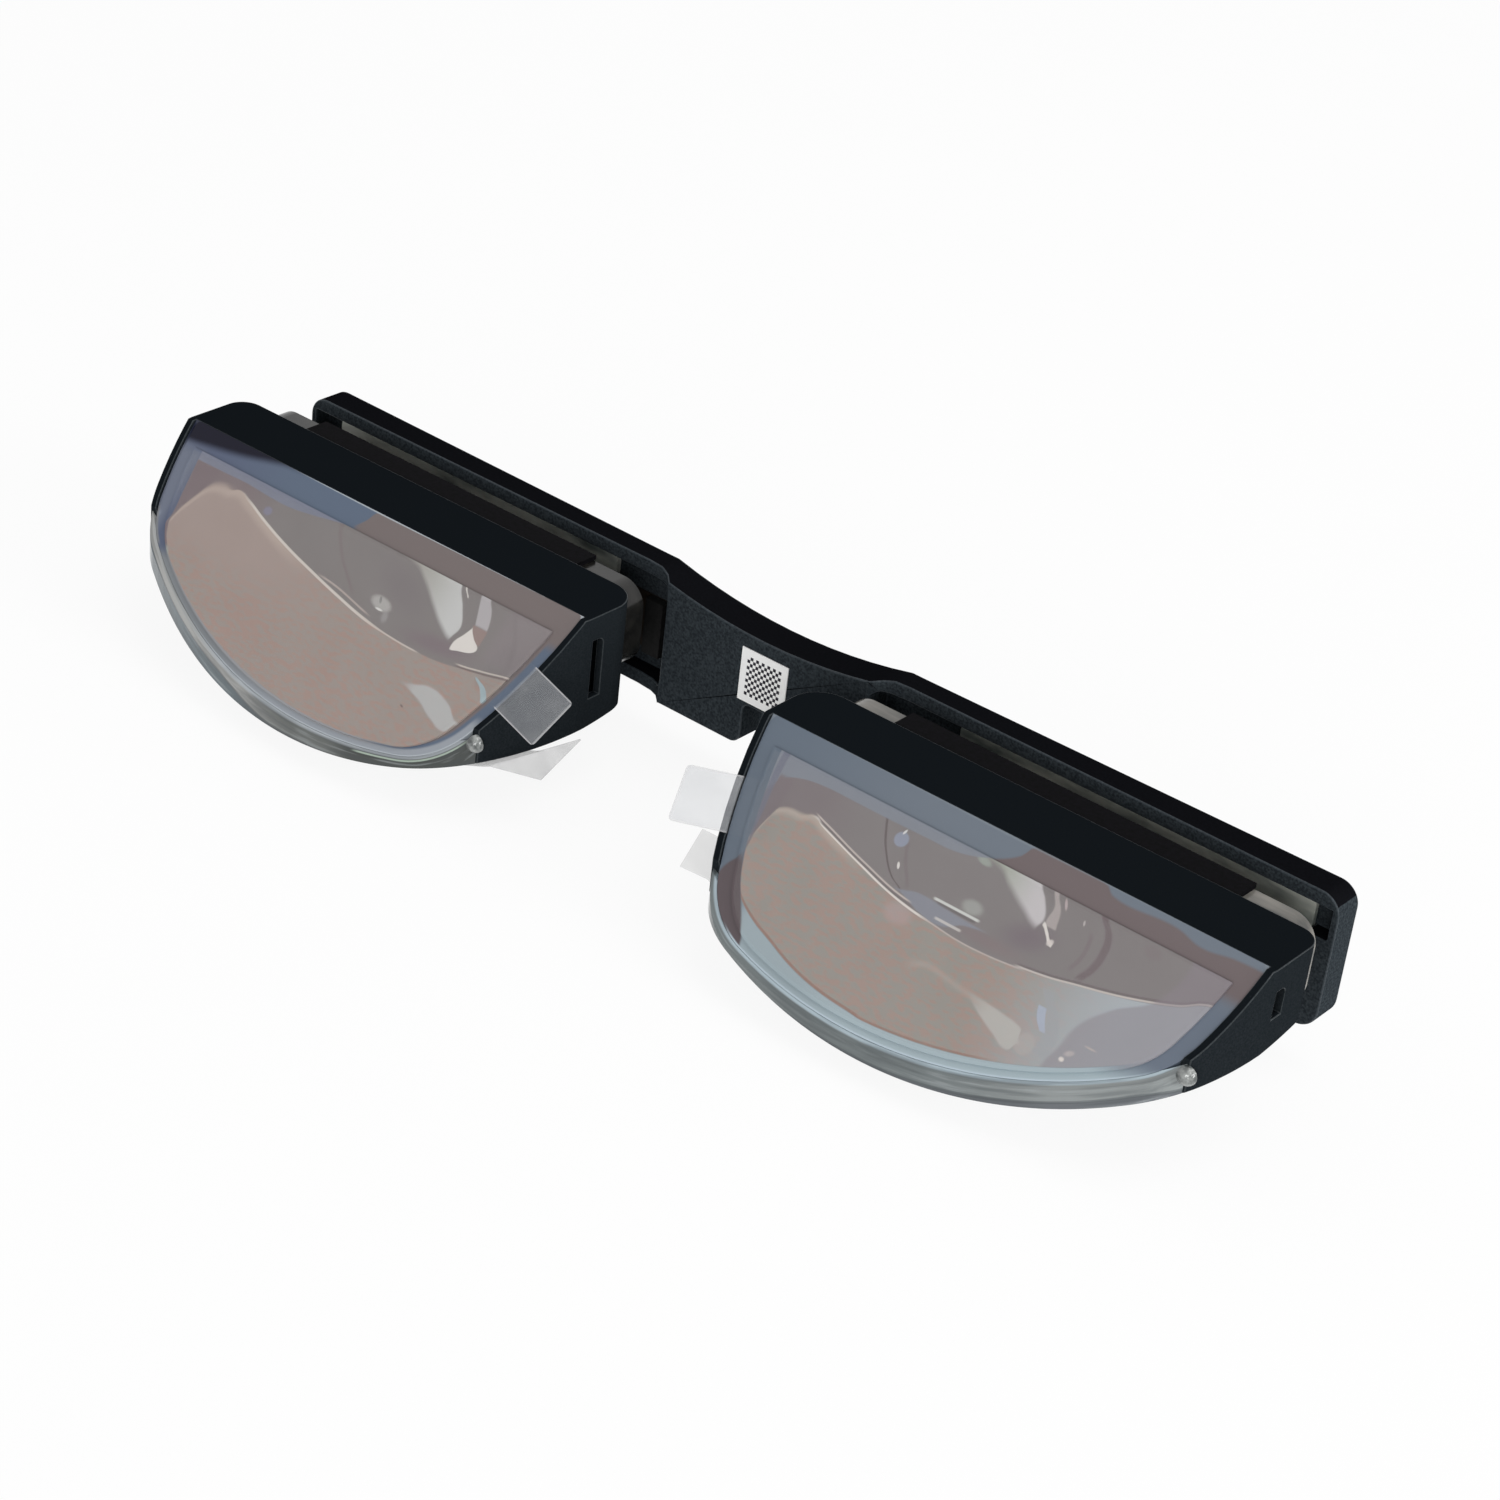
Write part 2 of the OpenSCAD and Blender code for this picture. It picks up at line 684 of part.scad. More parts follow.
placed() bridge_bar();
placed() label();
placed() left_side() housing();  // left_housing
placed() right_side() housing();  // right_housing
placed() left_side() splitter();  // left_splitter
placed() right_side() splitter();  // right_splitter
placed() left_side() polariser();  // left_polariser
placed() right_side() polariser();  // right_polariser
placed() left_side() eye_film();  // left_eye_film
placed() right_side() eye_film();  // right_eye_film
placed() left_side() eye_tab();  // left_eye_tab
placed() right_side() eye_tab();  // right_eye_tab
placed() left_side() combiner();  // left_combiner
placed() right_side() combiner();  // right_combiner
placed() left_side() world_film();  // left_world_film
placed() right_side() world_film();  // right_world_film
placed() left_side() left_tab();  // left_world_tab
placed() right_side() right_tab();  // right_world_tab
placed() left_side() lens();  // left_lens
placed() right_side() lens();  // right_lens
placed() left_side() shield_tape();  // left_shield_tape
placed() right_side() shield_tape();  // right_shield_tape
placed() left_side() nose_bead();  // left_glue
placed() right_side() outer_bead();  // right_glue
placed() left_side() cover_glass();  // left_cover_glass
placed() right_side() cover_glass();  // right_cover_glass
placed() left_side() display();  // left_display
placed() right_side() display();  // right_display
placed() left_side() carrier();  // left_carrier
placed() right_side() carrier();  // right_carrier
placed() left_side() flex();  // left_flex
placed() right_side() flex();  // right_flex
placed() left_side() connector();  // left_connector
placed() right_side() connector();  // right_connector
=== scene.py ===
import math
import bmesh
import bpy
from mathutils import Matrix, Vector


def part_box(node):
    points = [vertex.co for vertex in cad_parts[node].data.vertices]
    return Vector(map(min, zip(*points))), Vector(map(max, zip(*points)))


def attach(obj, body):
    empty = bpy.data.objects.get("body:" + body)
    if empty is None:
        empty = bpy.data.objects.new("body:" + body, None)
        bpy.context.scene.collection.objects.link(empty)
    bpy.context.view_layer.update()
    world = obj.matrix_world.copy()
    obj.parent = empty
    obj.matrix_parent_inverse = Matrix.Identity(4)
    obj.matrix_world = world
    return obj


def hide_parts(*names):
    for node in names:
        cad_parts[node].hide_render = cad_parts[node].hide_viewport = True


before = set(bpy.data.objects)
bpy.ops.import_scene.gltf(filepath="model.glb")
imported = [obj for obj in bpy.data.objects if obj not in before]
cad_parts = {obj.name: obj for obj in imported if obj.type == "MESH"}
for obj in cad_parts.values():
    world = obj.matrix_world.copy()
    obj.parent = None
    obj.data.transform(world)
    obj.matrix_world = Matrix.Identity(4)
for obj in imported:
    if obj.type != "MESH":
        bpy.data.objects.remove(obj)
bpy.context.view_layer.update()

# The view. The engine is seen from the wearer's side, from its right and from above,
# with a long lens. The camera is set by its place and its three directions.
MM = 0.001
right = Vector((0.75960, 0.64244, 0.10140))
up = Vector((-0.39455, 0.33123, 0.85710))
back = Vector((0.51705, -0.69106, 0.50508))
eye = Vector((144.917, -183.921, 145.849)) * MM
lens_data = bpy.data.cameras.new("view")
lens_data.sensor_width = 36
lens_data.lens = 83.876
lens_data.clip_start = 0.01
camera = bpy.data.objects.new("view", lens_data)
camera.matrix_world = Matrix.Translation(eye) @ Matrix((right, up, back)).transposed().to_4x4()
bpy.context.scene.collection.objects.link(camera)
bpy.context.scene.camera = camera
bpy.context.scene.view_settings.view_transform = "Standard"


# The bridge bar. One piece of glass-filled black plastic, moulded with a fine spark
# texture. Its faces are without gloss. Its top faces are painted darker, a painted shade,
# and its eased edges painted lighter, a painted highlight with a little real gloss.
def link(name, mesh):
    piece = bpy.data.objects.new(name, mesh)
    bpy.context.scene.collection.objects.link(piece)
    return piece


def moulded(node, edge, faces, edges, shaded_tops):
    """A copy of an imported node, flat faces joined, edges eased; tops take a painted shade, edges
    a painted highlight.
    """
    same_point = 1e-6
    shortest_edge = 0.03 * MM
    one_flat = math.radians(0.5)
    sharp_corner = math.radians(50)
    facing_up = 0.5
    shell = bmesh.new()
    shell.from_mesh(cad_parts[node].data)
    bmesh.ops.remove_doubles(shell, verts=shell.verts, dist=same_point)
    bmesh.ops.dissolve_limit(shell, angle_limit=one_flat, verts=shell.verts, edges=shell.edges)
    bmesh.ops.dissolve_degenerate(shell, dist=shortest_edge, edges=shell.edges)
    shell.normal_update()
    for face in shell.faces:
        face.smooth = True
        # up-facing faces take the third finish, painted darker: a painted shade
        face.material_index = 2 if face.normal.z > facing_up else 0
    mesh = bpy.data.meshes.new(node + "_moulded")
    shell.to_mesh(mesh)
    shell.free()
    for material in (faces, edges, shaded_tops):
        mesh.materials.append(material)
    piece = link(node + "_moulded", mesh)
    ease = piece.modifiers.new("eased edges", "BEVEL")
    ease.width = edge
    ease.segments = 2
    ease.limit_method = "ANGLE"
    ease.angle_limit = sharp_corner
    # the eased edges take the second finish, painted lighter: a painted highlight
    ease.material = 1
    ease.use_clamp_overlap = False
    flats = piece.modifiers.new("flat faces", "WEIGHTED_NORMAL")
    flats.keep_sharp = True
    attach(piece, "engine")
    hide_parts(node)
    return piece


def finish(name, colour, roughness, specular):
    """A new finish: returns the material, its node tree and the shader."""
    material = bpy.data.materials.new(name)
    material.use_nodes = True
    shader = material.node_tree.nodes["Principled BSDF"]
    shader.inputs["Base Color"].default_value = (*colour, 1)
    shader.inputs["Roughness"].default_value = roughness
    shader.inputs["Specular IOR Level"].default_value = specular
    return material, material.node_tree, shader


def noise_at(tree, scale, detail=3, stretch=(1, 1, 1)):
    """Noise at a real size, in object space."""
    place = tree.nodes.new("ShaderNodeTexCoord")
    noise = tree.nodes.new("ShaderNodeTexNoise")
    noise.inputs["Scale"].default_value = scale
    noise.inputs["Detail"].default_value = detail
    turn = tree.nodes.new("ShaderNodeMapping")
    turn.inputs["Scale"].default_value = stretch
    tree.links.new(place.outputs["Object"], turn.inputs["Vector"])
    tree.links.new(turn.outputs["Vector"], noise.inputs["Vector"])
    return noise.outputs["Fac"]


def grain(tree, shader, height, depth):
    """Fine moulded grain, as a bump."""
    bump = tree.nodes.new("ShaderNodeBump")
    bump.inputs["Strength"].default_value = 0.6
    bump.inputs["Distance"].default_value = depth
    tree.links.new(height, bump.inputs["Height"])
    tree.links.new(bump.outputs["Normal"], shader.inputs["Normal"])


def wander(tree, shader, noise, low, high, start=0.35, end=0.65):
    """Colour that wanders between two tones with a noise."""
    ramp = tree.nodes.new("ShaderNodeValToRGB")
    ramp.color_ramp.elements[0].position = start
    ramp.color_ramp.elements[0].color = (*low, 1)
    ramp.color_ramp.elements[1].position = end
    ramp.color_ramp.elements[1].color = (*high, 1)
    tree.links.new(noise, ramp.inputs["Fac"])
    tree.links.new(ramp.outputs["Color"], shader.inputs["Base Color"])


def black_plastic(name, dark, pale, roughness, specular, speck, depth):
    """Moulded plastic whose two tones and bumps follow one speckled noise."""
    material, tree, shader = finish(name, pale, roughness, specular)
    noise = noise_at(tree, speck, 4)
    grain(tree, shader, noise, depth)
    wander(tree, shader, noise, dark, pale)
    return material


bar_speck = 5200
bar_black = black_plastic(
    "bar_black", (0.017, 0.021, 0.025), (0.037, 0.045, 0.051),
    0.6, 0, bar_speck, 0.02 * MM
)
# the finish of the up-facing faces: the same plastic painted darker, a painted shade
bar_shaded_top = black_plastic(
    "bar_top_painted_shade", (0.0045, 0.0047, 0.0058), (0.0055, 0.0057, 0.0072),
    0.6, 0, bar_speck, 0.02 * MM
)
# the finish of the eased edges: painted lighter, a painted highlight, with a little real gloss
bar_highlit_edge = black_plastic(
    "bar_edge_painted_highlight", (0.020, 0.026, 0.031), (0.036, 0.045, 0.053),
    0.4, 0.15, bar_speck, 0.01 * MM
)
bar = moulded("bridge_bar", 0.12 * MM, bar_black, bar_highlit_edge, bar_shaded_top)

# The sticker. White matt paper on the middle block, with a plain regular grid where
# the real one has its own print.
PAPER = (0.90, 0.90, 0.89)
INK = (0.012, 0.010, 0.018)
cell = 0.29 * MM
cells_to_edge = 6
sticker, tree, shader = finish("sticker_paper", PAPER, 0.6, 0.2)
join = tree.links.new
place = tree.nodes.new("ShaderNodeTexCoord")
low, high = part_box("label")
centre = (Vector(low) + Vector(high)) / 2
turn = tree.nodes.new("ShaderNodeMapping")
turn.inputs["Location"].default_value = [-c / cell for c in centre]
turn.inputs["Scale"].default_value = (1 / cell,) * 3
join(place.outputs["Object"], turn.inputs["Vector"])
split = tree.nodes.new("ShaderNodeSeparateXYZ")
join(turn.outputs["Vector"], split.inputs["Vector"])
flat = tree.nodes.new("ShaderNodeCombineXYZ")
join(split.outputs["X"], flat.inputs["X"])
join(split.outputs["Z"], flat.inputs["Y"])
grid = tree.nodes.new("ShaderNodeTexChecker")
grid.inputs["Scale"].default_value = 1
grid.inputs["Color1"].default_value = (*PAPER, 1)
grid.inputs["Color2"].default_value = (*INK, 1)
join(flat.outputs["Vector"], grid.inputs["Vector"])
limits = []
for axis in "XZ":
    size = tree.nodes.new("ShaderNodeMath")
    size.operation = "ABSOLUTE"
    join(split.outputs[axis], size.inputs[0])
    limit = tree.nodes.new("ShaderNodeMath")
    limit.operation = "LESS_THAN"
    limit.inputs[1].default_value = cells_to_edge
    join(size.outputs[0], limit.inputs[0])
    limits.append(limit)
printed = tree.nodes.new("ShaderNodeMath")
printed.operation = "MULTIPLY"
join(limits[0].outputs[0], printed.inputs[0])
join(limits[1].outputs[0], printed.inputs[1])
print_mix = tree.nodes.new("ShaderNodeMix")
print_mix.data_type = "RGBA"
print_mix.inputs[6].default_value = (*PAPER, 1)
join(printed.outputs[0], print_mix.inputs[0])
join(grid.outputs["Color"], print_mix.inputs[7])
join(print_mix.outputs[2], shader.inputs["Base Color"])
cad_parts["label"].material_slots[0].material = sticker

# The housings. Thin-walled black mouldings, smoother than the bar, with a front strip,
# a frame for the lens and two side plates that hold the glass. Their top faces are
# painted darker, a painted shade, and their eased edges lighter, a painted highlight.
# SIDES gives the x of each module's middle, in mm.
SIDES = {"left": -31.9, "right": 31.9}
housing_speck = 7000
housing_black = black_plastic(
    "housing_black", (0.009, 0.012, 0.014), (0.015, 0.018, 0.021),
    0.55, 0, housing_speck, 0.008 * MM
)
# the finish of the up-facing faces: the same plastic painted darker, a painted shade
housing_shaded_top = black_plastic(
    "housing_top_painted_shade", (0.006, 0.008, 0.010), (0.007, 0.009, 0.011),
    0.55, 0, housing_speck, 0.008 * MM
)
# the finish of the eased edges: painted lighter, a painted highlight, with a little real gloss
housing_highlit_edge = black_plastic(
    "housing_edge_painted_highlight", (0.014, 0.018, 0.020), (0.028, 0.034, 0.038),
    0.35, 0.15, housing_speck, 0.004 * MM
)
for side in SIDES:
    housing = moulded(side + "_housing", 0.07 * MM, housing_black, housing_highlit_edge, housing_shaded_top)


# The splitters. Thin plates of half-mirrored glass at 45 degrees. What shows round
# the polariser is the blue-grey of the coating with painted reflections in it: the dark
# of the frame, warm and pale patches, and a painted highlight along the glass's edge.
# Places on a glass are in mm, from the middle of its top edge.
IN_MM = 1000
TILT = math.radians(-45)
LEAN = Matrix.Rotation(TILT, 3, "X")
TOP_EDGE = {side: Vector((middle, -0.768, 16)) for side, middle in SIDES.items()}
HUB = 5


def srgb(red, green_highlight, blue):
    """A colour as a screen shows it, in the linear values that a shader takes."""
    return tuple(((c / 255 + 0.055) / 1.055) ** 2.4 for c in (red, green_highlight, blue))


def glass_reach(side, turns):
    """How far the glass reaches all the way round, from a hub 5 mm under its top edge."""
    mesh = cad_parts[side + "_splitter"].data
    flat_points = [LEAN @ (v.co * IN_MM - TOP_EDGE[side]) for v in mesh.vertices]
    rim = sorted(
        (math.atan2(-p.y - HUB, p.x), p.x, -p.y - HUB) for p in flat_points if abs(p.z) < 0.01
    )
    reach = []
    for turn_no in range(turns + 1):
        angle = math.pi * (2 * turn_no / turns - 1)
        after = next((i for i, p in enumerate(rim) if p[0] > angle), 0)
        (_, ax, ay), (_, bx, by) = rim[after - 1], rim[after]
        dx, dy = math.cos(angle), math.sin(angle)
        if ax * by == ay * bx:
            (_, ax, ay), (_, bx, by) = rim[-1], rim[0]
        reach.append((ax * by - ay * bx) / (dx * (by - ay) - dy * (bx - ax)))
    return reach


class GlassPaint:
    """Colour on one tilted glass, in mm: x along its top edge, down from it, and out."""

    # drawn lines run 24 mm to each side and 20 mm down; no glass reaches 32 mm from its hub
    half_width = 24
    depth = 20
    longest_reach = 32
    turns = 120

    def __init__(self, tree, side):
        self.tree = tree
        place = self.add("TexCoord")
        turn = self.add("Mapping")
        turn.inputs["Scale"].default_value = (IN_MM,) * 3
        turn.inputs["Rotation"].default_value = (TILT, 0, 0)
        turn.inputs["Location"].default_value = -(LEAN @ TOP_EDGE[side])
        tree.links.new(place.outputs["Object"], turn.inputs["Vector"])
        split = self.add("SeparateXYZ")
        tree.links.new(turn.outputs["Vector"], split.inputs["Vector"])
        self.x = split.outputs["X"]
        self.down = self.calc("MULTIPLY", split.outputs["Y"], -1)
        self.out = split.outputs["Z"]
        self.colour = None
        low = self.calc("SUBTRACT", self.down, HUB)
        self.angle = self.calc("ARCTAN2", low, self.x)
        far = self.calc("SQRT", self.calc("ADD", self.squared(self.x), self.squared(low)))
        reaches = glass_reach(side, self.turns)
        points = [(n / self.turns, reach / self.longest_reach) for n, reach in enumerate(reaches)]
        part_turn = self.calc("MULTIPLY_ADD", self.angle, 0.5 / math.pi, 0.5)
        reach = self.curve(part_turn, points, self.longest_reach)
        self.past_edge = self.calc("SUBTRACT", far, reach)

    def add(self, kind):
        return self.tree.nodes.new("ShaderNode" + kind)

    def calc(self, operation, *values):
        """One step of arithmetic on sockets and numbers."""
        step = self.add("Math")
        step.operation = operation
        for socket, value in zip(step.inputs, values):
            if isinstance(value, (int, float)):
                socket.default_value = value
            else:
                self.tree.links.new(value, socket)
        return step.outputs[0]

    def squared(self, value):
        return self.calc("MULTIPLY", value, value)

    def both(self, *masks):
        """The place that all the masks share."""
        result = masks[0]
        for mask in masks[1:]:
            result = self.calc("MULTIPLY", result, mask)
        return result

    def flip(self, mask):
        """The place outside a mask."""
        return self.calc("SUBTRACT", 1, mask)

    def curve(self, value, points, high):
        """A drawn curve through points whose places run from 0 to 1."""
        drawn = self.add("FloatCurve")
        along = drawn.mapping.curves[0]
        along.points[0].location = points[0]
        along.points[1].location = points[-1]
        for a, b in points[1:-1]:
            along.points.new(a, b)
        drawn.mapping.update()
        self.tree.links.new(value, drawn.inputs["Value"])
        return self.calc("MULTIPLY", drawn.outputs[0], high)

    def level(self, points):
        """The depth of a drawn line at each x."""
        wide = 2 * self.half_width
        ends = [(-self.half_width, points[0][1])] + points + [(self.half_width, points[-1][1])]
        along = self.calc("MULTIPLY_ADD", self.x, 1 / wide, 0.5)
        drawn = [((x + self.half_width) / wide, down / self.depth) for x, down in ends]
        return self.curve(along, drawn, self.depth)

    def upright(self, points):
        """The x of a drawn line at each depth, from 1 mm over the top edge."""
        wide, long = 2 * self.half_width, self.depth + 1
        ends = [(points[0][0], -1)] + points + [(points[-1][0], self.depth)]
        along = self.calc("MULTIPLY_ADD", self.down, 1 / long, 1 / long)
        drawn = [((down + 1) / long, (x + self.half_width) / wide) for x, down in ends]
        return self.calc("SUBTRACT", self.curve(along, drawn, wide), self.half_width)

    def rise(self, value, start, end):
        """0 before start, 1 past end, smooth between."""
        step = self.add("MapRange")
        step.interpolation_type = "SMOOTHSTEP"
        step.inputs["From Min"].default_value = start
        step.inputs["From Max"].default_value = end
        self.tree.links.new(value, step.inputs["Value"])
        return step.outputs[0]

    def span(self, value, start, end, soft):
        """1 between start and end, soft outside them."""
        return self.both(
            self.rise(value, start - soft, start), self.flip(self.rise(value, end, end + soft))
        )

    def under(self, points, soft=0.2):
        """1 below a drawn line."""
        return self.rise(self.calc("SUBTRACT", self.down, self.level(points)), -soft / 2, soft / 2)

    def right_of(self, points, soft=0.2):
        """1 to the right of a drawn upright line."""
        return self.rise(self.calc("SUBTRACT", self.x, self.upright(points)), -soft / 2, soft / 2)

    def between(self, top, bottom, soft=0.25):
        """1 between two drawn lines, soft at both."""
        return self.both(self.under(top, soft), self.flip(self.under(bottom, soft)))

    def inside(self, left, right, soft=0.25):
        """1 between two drawn upright lines."""
        return self.both(self.right_of(left, soft), self.flip(self.right_of(right, soft)))

    def spot(self, centre, size, turn=0, soft=0.5):
        """A soft oval, by its half sizes and its turn in degrees."""
        c, s = math.cos(math.radians(turn)), math.sin(math.radians(turn))
        dx = self.calc("SUBTRACT", self.x, centre[0])
        dy = self.calc("SUBTRACT", self.down, centre[1])
        a = self.calc("MULTIPLY_ADD", dx, c / size[0], self.calc("MULTIPLY", dy, s / size[0]))
        b = self.calc("MULTIPLY_ADD", dy, c / size[1], self.calc("MULTIPLY", dx, -s / size[1]))
        far = self.calc("SQRT", self.calc("ADD", self.squared(a), self.squared(b)))
        return self.flip(self.rise(far, 1 - soft, 1))

    def stroke(self, points, wide, start, end, soft=0.6):
        """A thin line along a drawn line, from one x to another."""
        far = self.calc("ABSOLUTE", self.calc("SUBTRACT", self.down, self.level(points)))
        return self.both(
            self.flip(self.rise(far, wide * 0.4, wide)), self.span(self.x, start, end, soft)
        )

    def upright_stroke(self, points, wide, start, end, soft=0.6):
        """A thin line along a drawn upright line, from one depth to another."""
        far = self.calc("ABSOLUTE", self.calc("SUBTRACT", self.x, self.upright(points)))
        return self.both(
            self.flip(self.rise(far, wide * 0.4, wide)), self.span(self.down, start, end, soft)
        )

    def lay(self, mask, over, strength=1):
        """Lays a colour over what is there, where the mask says."""
        mix = self.add("Mix")
        mix.data_type = "RGBA"
        if strength < 1:
            mask = self.calc("MULTIPLY", mask, strength)
        self.tree.links.new(mask, mix.inputs[0])
        for socket, colour in ((mix.inputs[6], self.colour), (mix.inputs[7], over)):
            if isinstance(colour, tuple):
                socket.default_value = (*colour, 1)
            else:
                self.tree.links.new(colour, socket)
        self.colour = mix.outputs[2]

    def blend(self, mask, under, over):
        """A colour that goes from one to the other with the mask."""
        kept, self.colour = self.colour, under
        self.lay(mask, over)
        mixed, self.colour = self.colour, kept
        return mixed


upper_reflection_line = {
    "left": [
        (-19.7, 3.0), (-16, 2.95), (-13.6, 2.9), (-10.4, 3.05), (-8.5, 3.05), (-7, 2.9),
        (-5.3, 2.65), (-3.6, 2.35), (-2.3, 2.1), (-1.1, 1.2), (-0.3, 0)
    ],
    "right": [
        (-21, 11), (-19.5, 6.5), (-18.9, 4.8), (-18.2, 3.9), (-16.9, 3.4), (-15, 3.15),
        (-12.6, 3.12), (-10.8, 3.12), (-8.2, 3.1), (-5.5, 3.05), (-3.2, 3.0), (-1.6, 2.7),
        (0.2, 2.0), (1.7, 1), (2.4, 0), (8.5, 0), (9.5, 0.6), (15, 0.55), (17.2, 1), (20, 0.65)
    ],
}
teal_line = [
    (-17, 12.7), (-16.1, 13.4), (-14, 14.5), (-12, 15.2), (-10, 15.9), (-8, 16.4), (-6, 16.7),
    (-3, 16.9), (0, 17.2)
]


def teal_band(paint):
    """The right glass's low strip, wider towards the nose than at the outer end."""
    wide = paint.both(paint.under(teal_line, 0.15), paint.flip(paint.rise(paint.x, -3, -1.5)))
    narrow = paint.rise(paint.past_edge, -1.16, -1.04)
    return paint.flip(paint.both(paint.flip(wide), paint.flip(narrow)))


def left_border(paint):
    """The left glass as it shows round the film and through its outermost strip, in painted
    reflections and highlights.
    """
    lay, both, flip, rise, span = paint.lay, paint.both, paint.flip, paint.rise, paint.span
    x, down, past = paint.x, paint.down, paint.past_edge
    # warm under the upper line: a painted reflection of the film's field
    brown = both(paint.under(upper_reflection_line["left"], 0.3), rise(x, -2, -1))
    paint.colour = paint.blend(rise(x, -20, -8), srgb(84, 92, 114), srgb(88, 100, 118))
    lay(both(brown, flip(rise(past, -1.2, -0.9))), srgb(111, 102, 101))
    lay(both(brown, flip(rise(down, 2.8, 4.0))), srgb(111, 102, 101))
    # the dark of the frame at the top left: a painted reflection
    reflected_frame_dark = flip(paint.under([(-22, 1.9), (-20, 1.65), (-16, 1.05), (-12.5, 0.3), (-11, -0.4)], 0.9))
    lay(reflected_frame_dark, srgb(9, 8, 29))
    # a dark line along the left edge where the glass meets the plate: a painted shade
    dark_rim = both(rise(past, -0.3, -0.1), flip(rise(x, -21, -18)), flip(rise(down, 7, 8.5)))
    lay(dark_rim, srgb(44, 47, 62))
    # paler at the left end, with a pale spot: a painted reflection and a painted highlight
    left_end = both(flip(rise(x, -20, -18.6)), span(down, 3, 9.5, 1.5))
    lay(left_end, srgb(111, 117, 131), 0.8)
    lay(paint.spot((-20.2, 8.7), (0.5, 0.7), 20, 0.9), srgb(140, 148, 162), 0.7)
    # pale tones and an inner line along the low arc: a painted reflection
    low = both(rise(down, 10.6, 11.8), rise(x, -18.8, -17))
    tone = paint.blend(rise(x, -9, 2), srgb(122, 126, 130), srgb(142, 147, 154))
    lay(both(low, rise(past, -0.85, -0.55)), tone)
    inner_line = both(low, span(past, -0.85, -0.6, 0.12), flip(rise(x, 10, 13)))
    lay(inner_line, srgb(146, 146, 148), 0.8)
    # a bright line along the glass's edge: a painted highlight
    painted_edge_highlight = both(rise(past, -0.16, -0.04), rise(x, -12, -5))
    lay(painted_edge_highlight, srgb(168, 175, 181), 0.9)
    # grey along the edge lower down: a painted reflection
    grey_rim = both(rise(past, -0.3, -0.1), span(down, 8.2, 10.5, 0.5), flip(rise(x, -17, -15)))
    lay(grey_rim, srgb(120, 122, 126))


def right_border(paint):
    """The right glass as it shows round the film and through its outermost strip, in painted
    reflections and highlights.
    """
    lay, both, rise = paint.lay, paint.both, paint.rise
    x, down = paint.x, paint.down
    # warm under the upper line and a bluer patch at the outer end: painted reflections
    brown = both(paint.under(upper_reflection_line["right"], 0.3), rise(x, -2, -1))
    paint.colour = paint.blend(rise(x, -22, -6), srgb(94, 104, 116), srgb(104, 112, 122))
    lay(both(brown, paint.flip(rise(down, 2.8, 4.2))), srgb(105, 95, 96))
    lay(both(rise(x, 10, 14), rise(down, 2.8, 5)), srgb(98, 107, 120))
    # the teal tone of the low strip: a painted reflection
    low = both(rise(down, 9.6, 12.6), rise(x, -16.5, -14.8))
    tone = paint.blend(rise(x, -9, -3), srgb(146, 159, 165), srgb(154, 168, 174))
    lay(both(low, teal_band(paint)), tone)
    # a dark umber zone at the low nose end: a painted reflection
    umber = paint.inside(
        [(-17.9, 10), (-18.9, 12), (-18.9, 14)],
        [(-18.1, 9.4), (-17, 12), (-15.9, 13.6), (-14.8, 15.2), (-14.2, 16.4)],
        0.3
    )
    lay(both(umber, rise(down, 10, 11.2)), srgb(88, 79, 82))
    # a bright line along the glass's edge and a paler one at its top: painted highlights
    painted_edge_highlight = both(rise(paint.past_edge, -0.22, -0.06), low)
    lay(painted_edge_highlight, srgb(170, 184, 193))
    top_rim = both(rise(paint.past_edge, -0.2, -0.08), paint.flip(rise(down, 0.5, 1)))
    lay(top_rim, srgb(120, 128, 135), 0.6)


border_colours = {"left": left_border, "right": right_border}
for side in SIDES:
    glass, tree, shader = finish(side + "_coated_glass", srgb(86, 94, 107), 0.06, 0.2)
    paint = GlassPaint(tree, side)
    border_colours[side](paint)
    tree.links.new(paint.colour, shader.inputs["Base Color"])
    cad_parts[side + "_splitter"].material_slots[0].material = glass

# The polarisers. Grey film bonded on the glass. The curved mirror behind it is painted
# into the film's colour as a painted reflection: a warm, finely mottled field under a
# bright curved line, with a grey one over it.
# Past a line near the film's left end the border of the glass shows through.
field_line = {
    "left": [
        (-24, 10), (-19.4, 9.8), (-18.5, 8.6), (-18.1, 7.2), (-17.5, 5.9), (-16.9, 4.8),
        (-16.2, 4.2), (-15.3, 4.0), (-14.6, 4.0), (-13.8, 3.7), (-12.4, 4.1), (-9.85, 5.0),
        (-6.24, 6.07), (-2.86, 6.87), (0.84, 7.66), (4.4, 8.3), (7.65, 8.6), (10.7, 8.65),
        (13.1, 8.5), (15.4, 8.1), (18, 7.6), (20.2, 7.1)
    ],
    "right": [
        (-24, 10), (-19, 9.6), (-18.2, 9), (-18, 8.3), (-17.75, 7.2), (-17.45, 6.3),
        (-16.6, 5.85), (-15.3, 5.75), (-14.4, 5.45), (-13.4, 5.8), (-11.7, 6.3), (-9, 7.05),
        (-6.25, 7.75), (-3.7, 8.2), (-1.5, 8.4), (0.9, 8.6), (3, 8.58), (5.7, 8.35),
        (8.3, 7.95), (10.7, 7.45), (13.15, 6.95), (15.5, 6.35), (18, 5.5), (20.3, 4.4)
    ],
}


